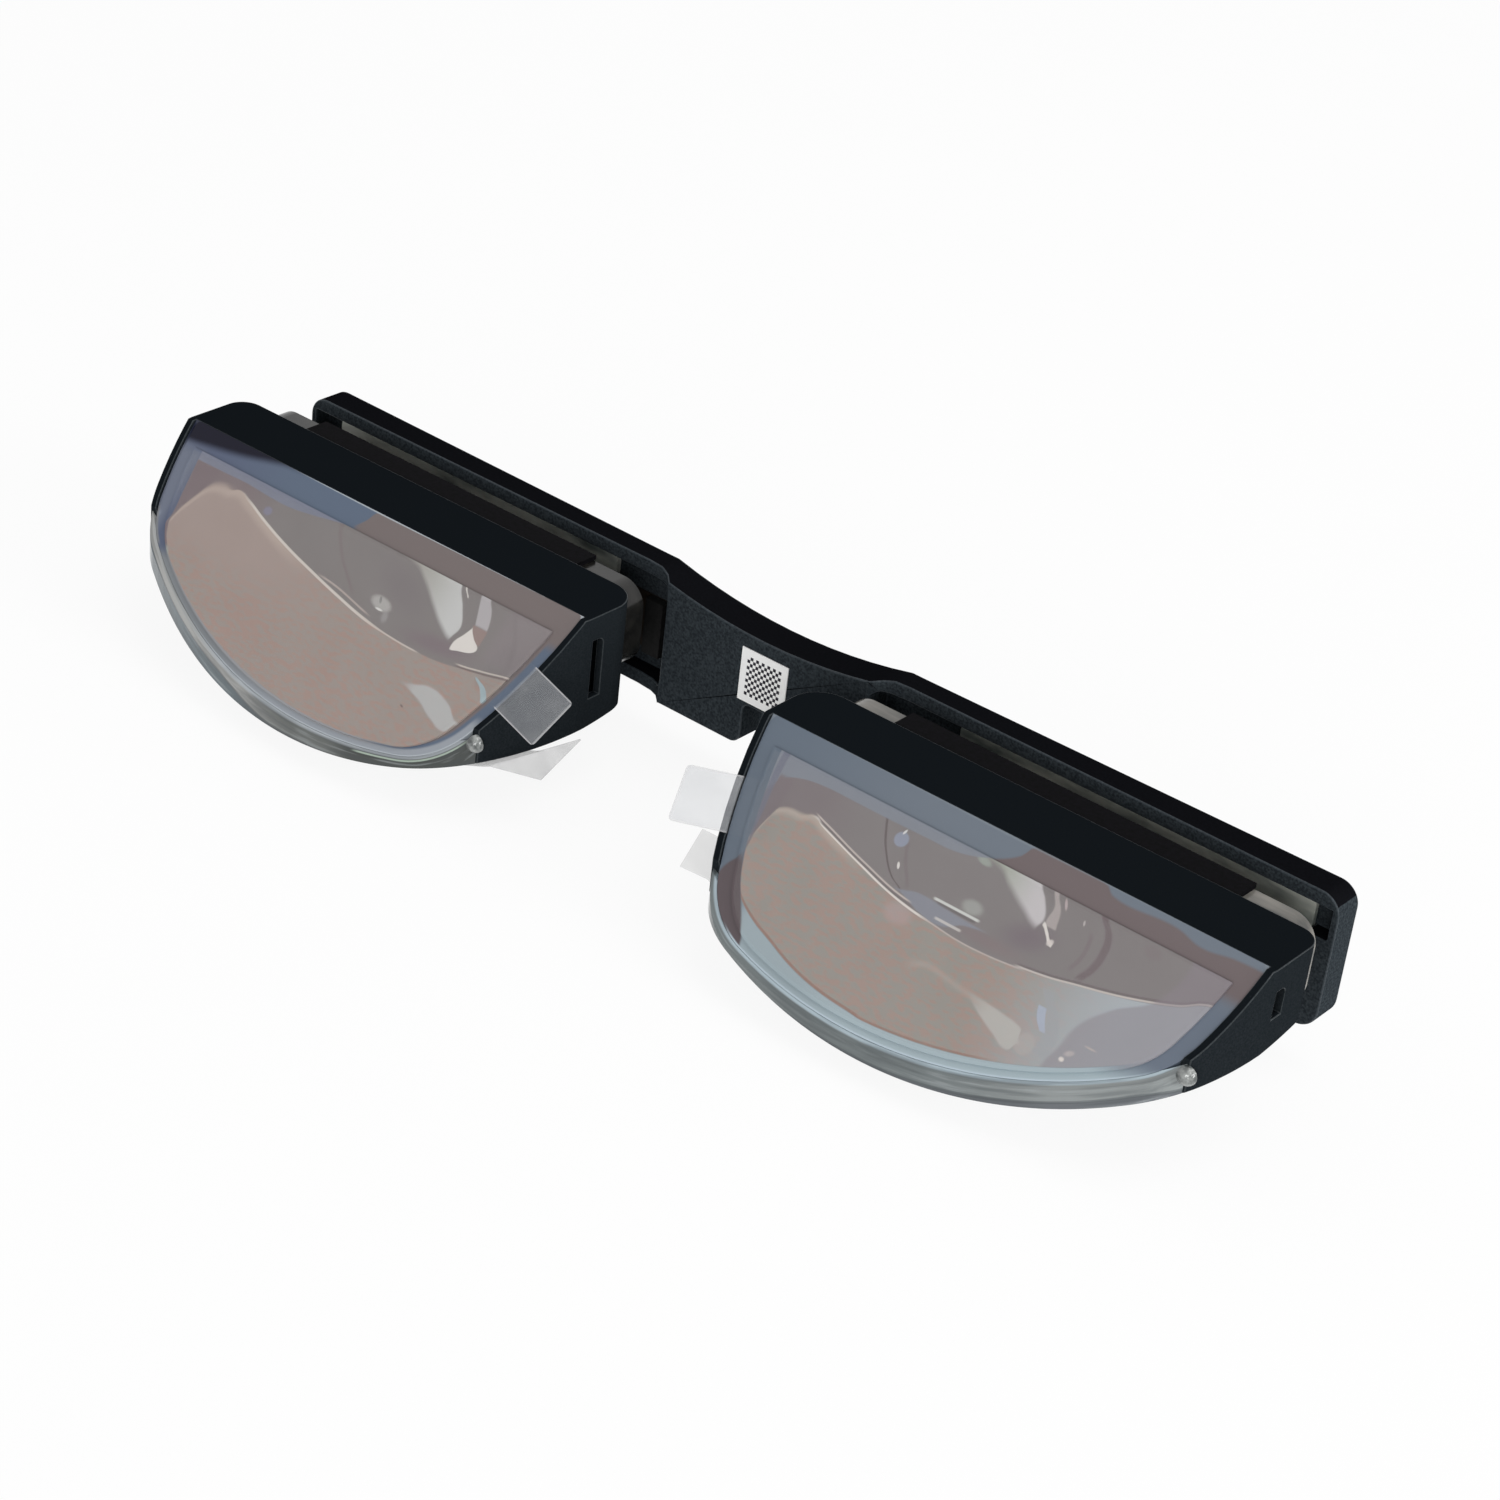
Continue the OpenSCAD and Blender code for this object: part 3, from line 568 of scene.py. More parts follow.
def left_warm_tones(paint, mottle):
    """The painted reflection's grey over the left line, and its two mottled tones under it."""
    both, flip, rise = paint.both, paint.flip, paint.rise
    warm = paint.blend(rise(mottle, 0.44, 0.58), srgb(147, 138, 132), srgb(155, 133, 125))
    pale, grey = srgb(154, 139, 133), srgb(122, 117, 116)
    warm = paint.blend(both(flip(rise(paint.x, -9, 4)), flip(rise(paint.down, 8, 12))), warm, pale)
    return grey, warm


def right_warm_tones(paint, mottle):
    """The painted reflection's grey over the right line, and its tones under it, paler at the outer
    end.
    """
    rise = paint.rise
    warm = paint.blend(rise(mottle, 0.44, 0.57), srgb(141, 137, 131), srgb(152, 133, 125))
    grey = srgb(121, 116, 116)
    warm = paint.blend(rise(paint.x, 4, 16), warm, srgb(159, 165, 170))
    return grey, warm


def left_reflections(paint):
    """The painted reflection in the left glass over the line: slanting lines, and the display's
    bright parts.
    """
    lay, both, flip, rise, spot = paint.lay, paint.both, paint.flip, paint.rise, paint.spot
    inside, upright_stroke = paint.inside, paint.upright_stroke
    x, down = paint.x, paint.down
    # the painted reflection's grey field: a warm left end, a dusky middle and two faint slanting
    # lines
    lay(flip(rise(x, -14, -8)), srgb(119, 108, 110))
    lay(spot((6, 4.6), (5.2, 2.6), 25, 0.9), srgb(117, 111, 112), 0.8)
    lay(spot((12, 7.4), (5.5, 1.2), -6, 0.9), srgb(118, 107, 111), 0.9)
    inner_slant_line = upright_stroke([(-2.8, 2.2), (-1.2, 4.4), (1.3, 6.4), (2.2, 7.2)], 0.3, 2.2, 6.6)
    lay(inner_slant_line, srgb(118, 108, 108), 0.6)
    lay(both(rise(x, 15.6, 17), flip(rise(down, 6, 8))), srgb(128, 120, 122), 0.7)
    outer_slant_line = upright_stroke([(16.7, 2.2), (18.2, 4.5), (18.9, 7)], 0.35, 2.2, 6.6)
    lay(outer_slant_line, srgb(122, 115, 116), 0.7)
    # painted highlights: the wedge, the tip and the small square glint of the display
    wedge = both(
        paint.under([(5.4, 2.2), (13, 2.2)], 0.1),
        flip(paint.under([(5.4, 2.2), (7.4, 3.2), (9.5, 4.7), (11.3, 5.9), (12.7, 6.5)], 0.7)),
        flip(paint.right_of([(10.8, 2.2), (12.1, 3.9), (12.9, 5.3), (12.6, 6.4)], 0.25))
    )
    lay(wedge, paint.blend(rise(x, 6, 12), srgb(158, 156, 150), srgb(186, 186, 185)))
    beside_wedge = both(
        inside(
            [(13, 2.2), (13.4, 3.2), (14, 4.6), (14.2, 5.2)],
            [(14, 2.2), (14.7, 3.1), (15.3, 4.6), (15.4, 5.6)],
            0.2
        ),
        flip(rise(down, 4.4, 4.8))
    )
    lay(beside_wedge, srgb(170, 166, 168), 0.9)
    above_tip = both(
        inside([(13.8, 4), (14, 5), (14.9, 6.2)], [(15.3, 4), (15.4, 5), (15.4, 6.2)], 0.2),
        paint.span(down, 4.7, 5.9, 0.15)
    )
    lay(above_tip, srgb(141, 122, 117), 0.9)
    tip = both(
        inside(
            [(14, 4.6), (13.6, 5.6), (13.1, 6.5), (13.1, 7.3)],
            [(13.9, 4.8), (14.6, 5.6), (15.4, 6.2), (15.1, 6.7), (13.3, 7.3)],
            0.15
        ),
        paint.span(down, 4.8, 7.15, 0.15)
    )
    lay(tip, srgb(209, 204, 199))
    lay(spot((5.0, 6.55), (1.45, 0.72), 8, 0.5), srgb(165, 163, 160), 0.9)
    lay(spot((5.1, 7.05), (0.5, 0.12), 0, 0.5), srgb(205, 203, 200))
    lay(spot((4.75, 6.3), (0.16, 0.4), -30, 0.5), srgb(120, 118, 118), 0.8)
    lay(spot((6, 7.4), (0.5, 0.75), -20, 0.8), srgb(152, 150, 150), 0.6)
    # a short bright stroke by the wedge: a painted highlight
    short_bright_stroke = upright_stroke([(11.3, 2.2), (12, 3)], 0.12, 2.1, 2.8, 0.2)
    lay(short_bright_stroke, srgb(205, 200, 195), 0.8)
    # a small bluish dot: a painted reflection
    lay(spot((-10.1, 4.15), (0.6, 0.5), 0, 0.5), srgb(124, 122, 140), 0.8)


def right_reflections(paint):
    """The painted reflection in the right glass over the line: the lens's rings and the display."""
    lay, both, flip, rise, span = paint.lay, paint.both, paint.flip, paint.rise, paint.span
    spot, upright_stroke = paint.spot, paint.upright_stroke
    x, down = paint.x, paint.down
    lay(flip(rise(x, -15, -10)), srgb(117, 109, 111), 0.9)
    lay(spot((5.6, 6.0), (3.2, 1.7), -20, 0.9), srgb(112, 103, 108), 0.9)
    lay(spot((3, 7.7), (4.5, 0.8), 0, 0.9), srgb(122, 110, 111), 0.8)
    # the lens's edge rings, left and right of the display: painted reflections
    left_ring = upright_stroke(
        [(-9.4, 2.2), (-8.7, 3.9), (-7.6, 5.5), (-6.2, 6.8), (-5.2, 7.3)], 0.16, 2.6, 7.1
    )
    lay(left_ring, srgb(96, 87, 88), 0.85)
    left_inner_ring = upright_stroke([(-6.6, 3.9), (-5.9, 5.4), (-4.8, 6.9)], 0.22, 4.2, 6.6)
    lay(left_inner_ring, srgb(116, 108, 109), 0.8)
    right_ring = upright_stroke(
        [(9.9, 2.2), (10.8, 3.2), (11.2, 4.6), (11.05, 6), (10.5, 7.2)], 0.42, 2.2, 6.7
    )
    lay(right_ring, srgb(107, 96, 99), 0.9)
    right_inner_ring = upright_stroke([(9.3, 2.8), (9.8, 4.2), (9.9, 5.6), (9.5, 7)], 0.25, 4, 6.4)
    lay(right_inner_ring, srgb(116, 107, 109), 0.7)
    lay(spot((14.4, 2.9), (0.9, 0.55), 10, 0.4), srgb(119, 111, 112), 0.7)
    # painted highlights: the wedge, the tip, the square glint and its line
    wedge = both(
        paint.under([(0.4, 2.2), (6, 2.2)], 0.1),
        flip(paint.under([(0.4, 2.3), (2.2, 3.3), (4.2, 4.4), (5.8, 5.1)], 0.8)),
        flip(paint.right_of([(4.4, 2.2), (5.2, 3.1), (5.9, 4.4), (5.7, 5.1)], 0.3))
    )
    lay(wedge, paint.blend(rise(x, 0.5, 5), srgb(154, 158, 148), srgb(183, 179, 181)))
    beside_wedge = both(
        paint.inside(
            [(5.5, 2.2), (6.1, 3.2), (6.1, 4.3), (6.2, 5)],
            [(5.9, 2.2), (6.7, 3.3), (7.1, 4.6), (7.5, 5.6)],
            0.2
        ),
        span(down, 2.2, 4.6, 0.2)
    )
    lay(beside_wedge, srgb(166, 158, 156), 0.8)
    tip = paint.stroke([(5.9, 4.6), (6.6, 5.1), (7.5, 5.8)], 0.22, 6.1, 7.4, 0.15)
    lay(tip, srgb(206, 201, 196))
    lay(spot((7.25, 5.65), (0.3, 0.4), 40, 0.6), srgb(198, 190, 186), 0.9)
    # pale patches beside the glint: a painted reflection
    lay(spot((-0.5, 2.6), (0.9, 0.4), 10, 0.6), srgb(146, 154, 146), 0.8)
    lay(spot((0.6, 6.0), (1.2, 0.75), 0, 0.6), srgb(152, 154, 150), 0.8)
    glint_top = both(span(x, -2.2, 1.4, 0.4), span(down, 6.62, 6.72, 0.1))
    lay(glint_top, srgb(198, 200, 196), 0.9)
    glint_shade = both(span(x, -1.9, 1.2, 0.3), span(down, 6.85, 6.92, 0.12))
    lay(glint_shade, srgb(96, 90, 92), 0.7)
    blue_patch = paint.between(
        [(-5.3, 7.3), (-3.8, 6.9), (-1, 7.0), (1, 7.1)],
        [(-5.3, 7.4), (-3, 8.1), (-1, 8.3), (1, 7.4)],
        0.2
    )
    lay(blue_patch, srgb(128, 131, 141), 0.85)
    low_glint = both(span(x, -1.4, 0.6, 0.3), span(down, 7.86, 7.96, 0.1))
    lay(low_glint, srgb(190, 186, 182), 0.8)
    lay(spot((-7.2, 4), (0.7, 0.68), 0, 0.3), srgb(137, 144, 161), 0.8)
    # small bright spots: painted highlights
    lay(spot((-7.25, 3.4), (0.12, 0.3), 20, 0.5), srgb(196, 196, 196))
    lay(spot((-6.3, 5.8), (0.14, 0.36), -28, 0.5), srgb(206, 202, 198))
    lay(spot((6.8, 2.7), (0.15, 0.6), -30, 0.6), srgb(176, 162, 162), 0.8)
    lay(spot((8.75, 3.3), (0.12, 0.3), -20, 0.6), srgb(176, 170, 168), 0.8)


def left_field_marks(paint, over, field):
    """The painted highlights along the left field's top and the gleams in it, with painted dark
    lines beside them.
    """
    lay, both, flip, rise, spot = paint.lay, paint.both, paint.flip, paint.rise, paint.spot
    stroke = paint.stroke
    pale_edge = both(flip(rise(over, 0.2, 1.1)), field, flip(rise(paint.x, -8, -2)))
    lay(pale_edge, srgb(176, 161, 151), 0.7)
    lay(stroke(field_line["left"], 0.16, -11, 4, 3), srgb(202, 195, 188), 0.9)
    lay(stroke(field_line["left"], 0.10, 4, 10, 1), srgb(192, 182, 174), 0.8)
    second_line = stroke([(-1, 6.9), (4.5, 7.85), (8, 8.4)], 0.12, -1, 3.6, 1.4)
    lay(second_line, srgb(176, 164, 158), 0.7)
    outer_line = stroke([(14.5, 8.0), (17, 7.6), (20, 7.05)], 0.1, 15, 20, 0.8)
    lay(outer_line, srgb(188, 178, 170), 0.85)
    outer_shade = stroke([(14.5, 8.15), (17, 7.8), (20, 7.25)], 0.1, 15, 20, 0.8)
    lay(outer_shade, srgb(112, 98, 96), 0.8)
    teal_glint = both(
        paint.inside(
            [(16.7, 8.2), (17.6, 8.8), (18.5, 10.2), (18.4, 11.5)],
            [(16.9, 8.15), (18, 8.6), (18.8, 9.6), (18.8, 11.5)],
            0.15
        ),
        paint.span(paint.down, 8.3, 9.7, 0.2)
    )
    lay(teal_glint, srgb(152, 170, 176), 0.9)
    gleam = paint.between(
        [(10.6, 11.3), (12.1, 11), (13.6, 10.6), (15.9, 11.1), (17.6, 12.1)],
        [(10.6, 11.35), (13.1, 11.9), (15.2, 12.8), (16.9, 13.2), (17.6, 12.2)],
        0.3
    )
    lay(both(gleam, rise(paint.x, 10.6, 12.6)), srgb(173, 174, 174), 0.85)
    lay(spot((12.2, 13), (0.22, 0.1), 20, 0.5), srgb(95, 80, 78), 0.7)


def right_field_marks(paint, over, field):
    """The painted highlights along the right field's top and the gleams in it, with painted dark
    lines beside them.
    """
    lay, both, flip, rise, span = paint.lay, paint.both, paint.flip, paint.rise, paint.span
    spot, stroke = paint.spot, paint.stroke
    x, down = paint.x, paint.down
    lay(both(flip(rise(over, 0.1, 0.8)), field, flip(rise(x, -12, -8))), srgb(172, 160, 150), 0.75)
    lay(spot((-4.3, 8.9), (1.6, 1.1), 0, 0.6), srgb(165, 146, 144), 0.6)
    lay(stroke(field_line["right"], 0.12, -13.4, -3, 1.5), srgb(212, 206, 200), 0.9)
    second_line = stroke([(-15, 5.1), (-13.4, 5.5), (-9, 6.72), (-4, 7.75)], 0.1, -13.8, -4.4, 0.8)
    lay(second_line, srgb(182, 172, 166), 0.9)
    second_shade = stroke([(-15, 5.3), (-13.4, 5.7), (-9, 6.9), (-4, 7.95)], 0.12, -13.4, -4, 0.8)
    lay(second_shade, srgb(110, 102, 103), 0.8)
    lay(stroke(field_line["right"], 0.09, -2, 6, 1), srgb(186, 176, 170), 0.6)
    outer_line = stroke(
        [(5, 8.25), (8.3, 7.9), (10.7, 7.4), (13.15, 6.88), (15.5, 6.25), (18, 5.4), (20.3, 4.3)],
        0.1, 6.5, 20, 1
    )
    lay(outer_line, srgb(190, 182, 176), 0.85)
    outer_shade = stroke(
        [(5, 8.1), (8.3, 7.72), (10.7, 7.22), (13.15, 6.68), (15.5, 6.05), (18, 5.2), (20.3, 4.1)],
        0.12, 6.5, 20, 1
    )
    lay(outer_shade, srgb(104, 95, 97), 0.75)
    gleam = paint.between(
        [(3, 11.3), (5, 11.5), (7, 11.65), (8.8, 12), (9.1, 12.9)],
        [(3, 11.35), (5, 12.3), (7, 13.2), (8.7, 13.75), (9.1, 13)],
        0.3
    )
    lay(both(gleam, rise(x, 3.4, 6)), srgb(172, 170, 166), 0.85)
    lay(spot((9.6, 12.8), (0.9, 1.0), 0, 0.35), srgb(166, 161, 158), 0.5)
    # a faint pale band in the field: a painted reflection
    faint_pale_band = paint.between(
        [(-1.5, 11.3), (0, 11), (2, 11.2), (5, 11.5)],
        [(-1.5, 12), (0, 11.4), (2, 11.6), (5, 11.9)],
        0.5
    )
    lay(both(faint_pale_band, span(x, -0.5, 5, 1.5)), srgb(168, 158, 150), 0.4)
    blue_glint = both(
        paint.inside(
            [(9, 9.9), (9.4, 10.8), (10.1, 11.6)], [(9.7, 9.9), (10.1, 10.8), (10.6, 11.6)], 0.15
        ),
        span(down, 9.95, 11.4, 0.15)
    )
    lay(blue_glint, srgb(158, 166, 182), 0.85)
    grey_stripe = both(
        paint.inside(
            [(8.6, 8.7), (9.8, 10), (10.4, 11.2), (10.4, 12.9)],
            [(9.6, 8.7), (10.9, 10.1), (11.6, 11.5), (11.6, 12.9)],
            0.2
        ),
        span(down, 8.8, 12.9, 0.3)
    )
    lay(grey_stripe, srgb(149, 152, 156), 0.6)
    outer_part = paint.right_of([(16.5, 5.8), (14, 7.8), (12.4, 9.8), (11.9, 12), (11.6, 13)], 0.5)
    lay(outer_part, srgb(129, 121, 128), 0.55)
    lay(spot((12.6, 12.5), (0.3, 0.25), 0, 0.7), srgb(205, 198, 192))
    lay(spot((12.9, 11.9), (0.55, 0.3), -30, 0.7), srgb(176, 168, 166), 0.7)
    lay(spot((14.1, 10.9), (0.7, 0.12), 0, 0.7), srgb(180, 168, 162), 0.6)
    teal_shade = stroke([(across, low - 0.12) for across, low in teal_line], 0.14, -16.2, -3, 0.5)
    lay(teal_shade, srgb(138, 108, 98), 0.8)
    outer_teal_shade = both(
        span(paint.past_edge, -1.24, -1.16, 0.1), span(x, -3, 6, 3), rise(down, 12, 13)
    )
    lay(outer_teal_shade, srgb(138, 108, 98), 0.7)


def left_film_end(paint, border):
    """The left end of the left film, where the glass's border shows through, with painted
    reflections and a highlight.
    """
    lay, both, flip, rise, spot = paint.lay, paint.both, paint.flip, paint.rise, paint.spot
    mauve = paint.inside(
        [(-19.5, 2.2), (-19.2, 4), (-18.9, 6), (-18.6, 8), (-18.7, 9.5)],
        [(-16.6, 2.2), (-16.9, 4.1), (-17.9, 6.5), (-18.5, 8.2), (-17.9, 9.8), (-17.0, 10.9)],
        0.2
    )
    lay(both(mauve, rise(paint.down, 2.9, 3.2)), srgb(116, 104, 107))
    edge_line = [
        (-19.6, 2.2), (-19.3, 4), (-18.95, 6), (-18.6, 8), (-18.6, 9.2), (-17.7, 10.4),
        (-16.5, 11.6)
    ]
    lay(flip(paint.right_of(edge_line, 0.15)), border)
    low = rise(paint.down, 10.4, 11.6)
    lay(both(low, rise(paint.past_edge, -0.88, -0.7)), border)
    lay(spot((-16.9, 11.1), (0.9, 0.35), 42, 0.8), srgb(142, 150, 146), 0.8)


def right_film_end(paint, border):
    """The left end of the right film, where the glass's border shows through, with painted
    reflections.
    """
    lay, both, flip, rise = paint.lay, paint.both, paint.flip, paint.rise
    down = paint.down
    mauve = paint.inside(
        [(-18.8, 3), (-18.7, 5), (-18.5, 7), (-18.2, 9), (-18.1, 10)],
        [(-17.5, 3), (-17.5, 6.3), (-18, 8.3), (-17.95, 10)],
        0.2
    )
    lay(both(mauve, rise(down, 3.6, 4.1)), srgb(115, 106, 109))
    bluish_strip = both(
        paint.inside(
            [(-19.5, 3), (-19, 6), (-18.4, 8.5), (-18.1, 9.6)],
            [(-18.9, 3), (-18.7, 5), (-18.3, 7.5), (-18.1, 9.5)],
            0.2
        ),
        flip(rise(down, 9, 9.8))
    )
    lay(bluish_strip, srgb(106, 108, 122), 0.8)
    edge_line = [
        (-19.8, 2.2), (-19.5, 4), (-19, 6), (-18.4, 8.3), (-18.1, 9.6), (-17.7, 10.6),
        (-16.9, 12.2), (-15.9, 13.6), (-14.8, 15.2), (-14.3, 16)
    ]
    lay(flip(paint.right_of(edge_line, 0.15)), border)
    lay(both(rise(down, 9.6, 12), teal_band(paint)), border)


for side, warm_tones, reflections, field_marks, film_end in (
    ("left", left_warm_tones, left_reflections, left_field_marks, left_film_end),
    ("right", right_warm_tones, right_reflections, right_field_marks, right_film_end),
):
    film, tree, shader = finish(side + "_polariser_film", srgb(155, 141, 134), 0.2, 0.12)
    paint = GlassPaint(tree, side)
    cloud, fleck = noise_at(tree, 170, 4), noise_at(tree, 2300, 5, (0.5, 1.3, 1.3))
    mottle = paint.calc("MULTIPLY_ADD", cloud, 0.25, paint.calc("MULTIPLY", fleck, 0.75))
    paint.colour, warm = warm_tones(paint, mottle)
    over = paint.calc("SUBTRACT", paint.down, paint.level(field_line[side]))
    reflections(paint)
    # the grey over the upper line: a painted reflection
    upper_reflection = paint.flip(paint.under(upper_reflection_line[side], 0.15))
    upper_reflection_colour = srgb(117, 121, 136) if side == "left" else srgb(122, 127, 136)
    paint.lay(paint.both(upper_reflection, paint.flip(paint.rise(paint.down, 8, 11))), upper_reflection_colour, 0.95)
    # the warm field under the bright line: a painted reflection
    left_end = paint.flip(paint.rise(paint.x, -15.5, -13.8))
    soft_end = (-0.6, 0.5) if side == "left" else (-0.25, 0.2)
    crisp = paint.both(paint.rise(over, -0.08, 0.08), paint.flip(left_end))
    soft = paint.both(paint.rise(over, *soft_end), left_end)
    field = paint.calc("ADD", crisp, soft)
    paint.lay(field, warm)
    field_marks(paint, over, field)
    field_colour = paint.colour
    border_colours[side](paint)
    border = paint.colour
    paint.colour = field_colour
    film_end(paint, border)
    tree.links.new(paint.colour, shader.inputs["Base Color"])
    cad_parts[side + "_polariser"].material_slots[0].material = film


# The peel-off films and their pull tabs. Clear film over the polariser and the curved
# mirror, with milky tabs that stand out past the nose plate; the part of a tab that
# lies on the film is wetted by its glue and hardly shows.
def sheer(name, colour, alpha, roughness):
    """Thin clear or milky film, by how much of it shows."""
    material, tree, shader = finish(name, colour, roughness, 0.2)
    shader.inputs["Alpha"].default_value = alpha
    return material, tree, shader


peel, tree, shader = sheer("peel_film_clear", (0.5, 0.49, 0.48), 0.03, 0.15)
wander(tree, shader, noise_at(tree, 300), (0.42, 0.41, 0.40), (0.52, 0.51, 0.50))
world_tab = {}
# the left world tab shows more of its milk, so it is drawn darker over the floor than the right: a
# painted shade
for side, milk in (("left", 0.34), ("right", 0.16)):
    world_tab[side], tree, shader = sheer(side + "_world_tab_milky", (0.42, 0.42, 0.42), milk, 0.45)
    haze = noise_at(tree, 380, 4, (1, 2.2, 1))
    wander(tree, shader, haze, (0.36, 0.36, 0.365), (0.54, 0.54, 0.54))
tab_tilt = math.radians(14)
tab_end, tab_middle, tab_width = 25.45, 8.7, 4.55
# how much of a tab shows: where it lies on the film, and what is added past it and at its rim
on_film, past_film, at_rim = 0.012, 0.23, 0.12
# the left eye tab's milk is painted darker than the right's: a painted shade
for side, toward_nose, white in (("left", 1, 162), ("right", -1, 186)):
    milky, tree, shader = sheer(side + "_eye_tab_milky", (0.40, 0.41, 0.43), 0.27, 0.45)
    paint = GlassPaint(tree, side)
    haze = noise_at(tree, 260, 3, (1, 1, 2.5))
    thin, thick = srgb(white, white + 3, white + 8), srgb(white + 18, white + 20, white + 24)
    paint.colour = paint.blend(paint.rise(haze, 0.35, 0.65), thin, thick)
    short = paint.calc("MULTIPLY_ADD", paint.x, -toward_nose, tab_end)
    fall = paint.calc("SUBTRACT", tab_middle, paint.down)
    across_fall = paint.calc("MULTIPLY", fall, math.sin(tab_tilt))
    along_fall = paint.calc("MULTIPLY", fall, math.cos(tab_tilt))
    from_end = paint.calc("MULTIPLY_ADD", short, math.cos(tab_tilt), across_fall)
    off_middle = paint.calc("MULTIPLY_ADD", short, -math.sin(tab_tilt), along_fall)
    from_side = paint.calc("SUBTRACT", tab_width / 2, paint.calc("ABSOLUTE", off_middle))
    rim = paint.flip(paint.rise(paint.calc("MINIMUM", from_side, from_end), 0.06, 0.16))
    paint.lay(rim, srgb(212, 212, 214))
    past_glass = paint.rise(paint.past_edge, -0.12, 0.02)
    milk = paint.calc("MULTIPLY_ADD", past_glass, past_film, on_film)
    alpha = paint.calc("ADD", milk, paint.calc("MULTIPLY", paint.both(rim, past_glass), at_rim))
    tree.links.new(paint.colour, shader.inputs["Base Color"])
    tree.links.new(alpha, shader.inputs["Alpha"])
    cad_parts[side + "_eye_tab"].material_slots[0].material = milky
    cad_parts[side + "_eye_film"].material_slots[0].material = peel
    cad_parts[side + "_world_film"].material_slots[0].material = peel
    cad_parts[side + "_world_tab"].material_slots[0].material = world_tab[side]

# The curved mirrors. Clear moulded half mirrors. Their polished rim stands out round
# the glass, grey with the room behind it; that grey, the rim's paler band and its streaks
# are a painted reflection, and the bright line at its edge a painted highlight. The bowl
# below is half silvered.
for side in SIDES:
    moulding, tree, shader = finish(side + "_mirror_moulding", srgb(104, 110, 113), 0.08, 0.3)
    paint = GlassPaint(tree, side)
    streaks = paint.add("CombineXYZ")
    tree.links.new(paint.calc("MULTIPLY", paint.angle, 2.2), streaks.inputs["X"])
    tree.links.new(paint.calc("MULTIPLY", paint.out, 1.6), streaks.inputs["Y"])
    tree.links.new(paint.calc("MULTIPLY", paint.past_edge, 2.0), streaks.inputs["Z"])
    pull = paint.add("TexNoise")
    pull.inputs["Scale"].default_value = 1
    pull.inputs["Detail"].default_value = 3
    tree.links.new(streaks.outputs["Vector"], pull.inputs["Vector"])
    lay, both, flip = paint.lay, paint.both, paint.flip
    rise, span = paint.rise, paint.span
    # the rim's outer grey and paler band are a painted reflection, the line at the glass's edge a
    # painted highlight
    if side == "left":
        outer = paint.blend(rise(paint.x, -6, 4), srgb(80, 94, 101), srgb(64, 67, 69))
        band = paint.blend(rise(paint.x, -6, 4), srgb(160, 160, 158), srgb(90, 93, 91))
        band_end = paint.calc("MULTIPLY_ADD", rise(paint.x, -6, 2), 0.65, 0.75)
        line = paint.blend(rise(paint.x, -12, -4), srgb(150, 152, 152), srgb(160, 166, 171))
    else:
        outer = paint.blend(rise(paint.x, -10, 8), srgb(80, 86, 90), srgb(92, 96, 100))
        band = paint.blend(rise(paint.x, 4, 14), srgb(100, 107, 108), srgb(128, 133, 133))
        band_end = paint.calc("MULTIPLY_ADD", rise(paint.x, -8, 4), 0.1, 1.35)
        line = srgb(158, 173, 181)
    paint.colour = outer
    past_band = paint.calc("SUBTRACT", paint.past_edge, band_end)
    lay(flip(rise(past_band, -0.1, 0.1)), band)
    if side == "left":
        # darker along part of the left rim: a painted reflection
        lay(span(paint.x, 10.5, 19, 3), srgb(48, 52, 50), 0.85)
    lay(flip(rise(paint.past_edge, 0.18, 0.4)), line)
    # light and dark streaks along the rim: a painted reflection
    lay(rise(pull.outputs["Fac"], 0.42, 0.62), srgb(54, 60, 64), 0.4)
    lay(flip(rise(pull.outputs["Fac"], 0.3, 0.42)), srgb(150, 156, 158), 0.4)
    # dark lines where the band ends and at the rim's outer edge: a painted reflection
    lay(span(paint.calc("ABSOLUTE", past_band), 0.02, 0.05, 0.06), srgb(56, 62, 66), 0.5)
    lay(both(rise(paint.past_edge, 1.55, 1.75), rise(paint.out, -0.6, -0.2)), srgb(58, 63, 66), 0.6)
    # a green gleam on the left rim: a painted highlight
    if side == "left":
        green_highlight = both(span(paint.x, 11, 18.6, 1), span(paint.past_edge, 0.42, 0.5, 0.08))
        lay(green_highlight, srgb(168, 184, 170), 0.8)
    bowl = flip(rise(paint.out, -3.4, -2.4))
    lay(bowl, srgb(70, 78, 84))
    tree.links.new(paint.colour, shader.inputs["Base Color"])
    tree.links.new(paint.calc("MULTIPLY", bowl, 0.55), shader.inputs["Transmission Weight"])
    shader.inputs["Coat Weight"].default_value = 0.3
    shader.inputs["Coat Roughness"].default_value = 0.04
    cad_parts[side + "_combiner"].material_slots[0].material = moulding

# The lenses. Clear moulded blocks that stand on the frame with a rounded flange and
# rise into the bar. In the dark pocket they look grey, with pale streaks and edges, a
# look painted into their colour; the left one is painted much darker than the right, a
# painted shade.
lens_grey = {}
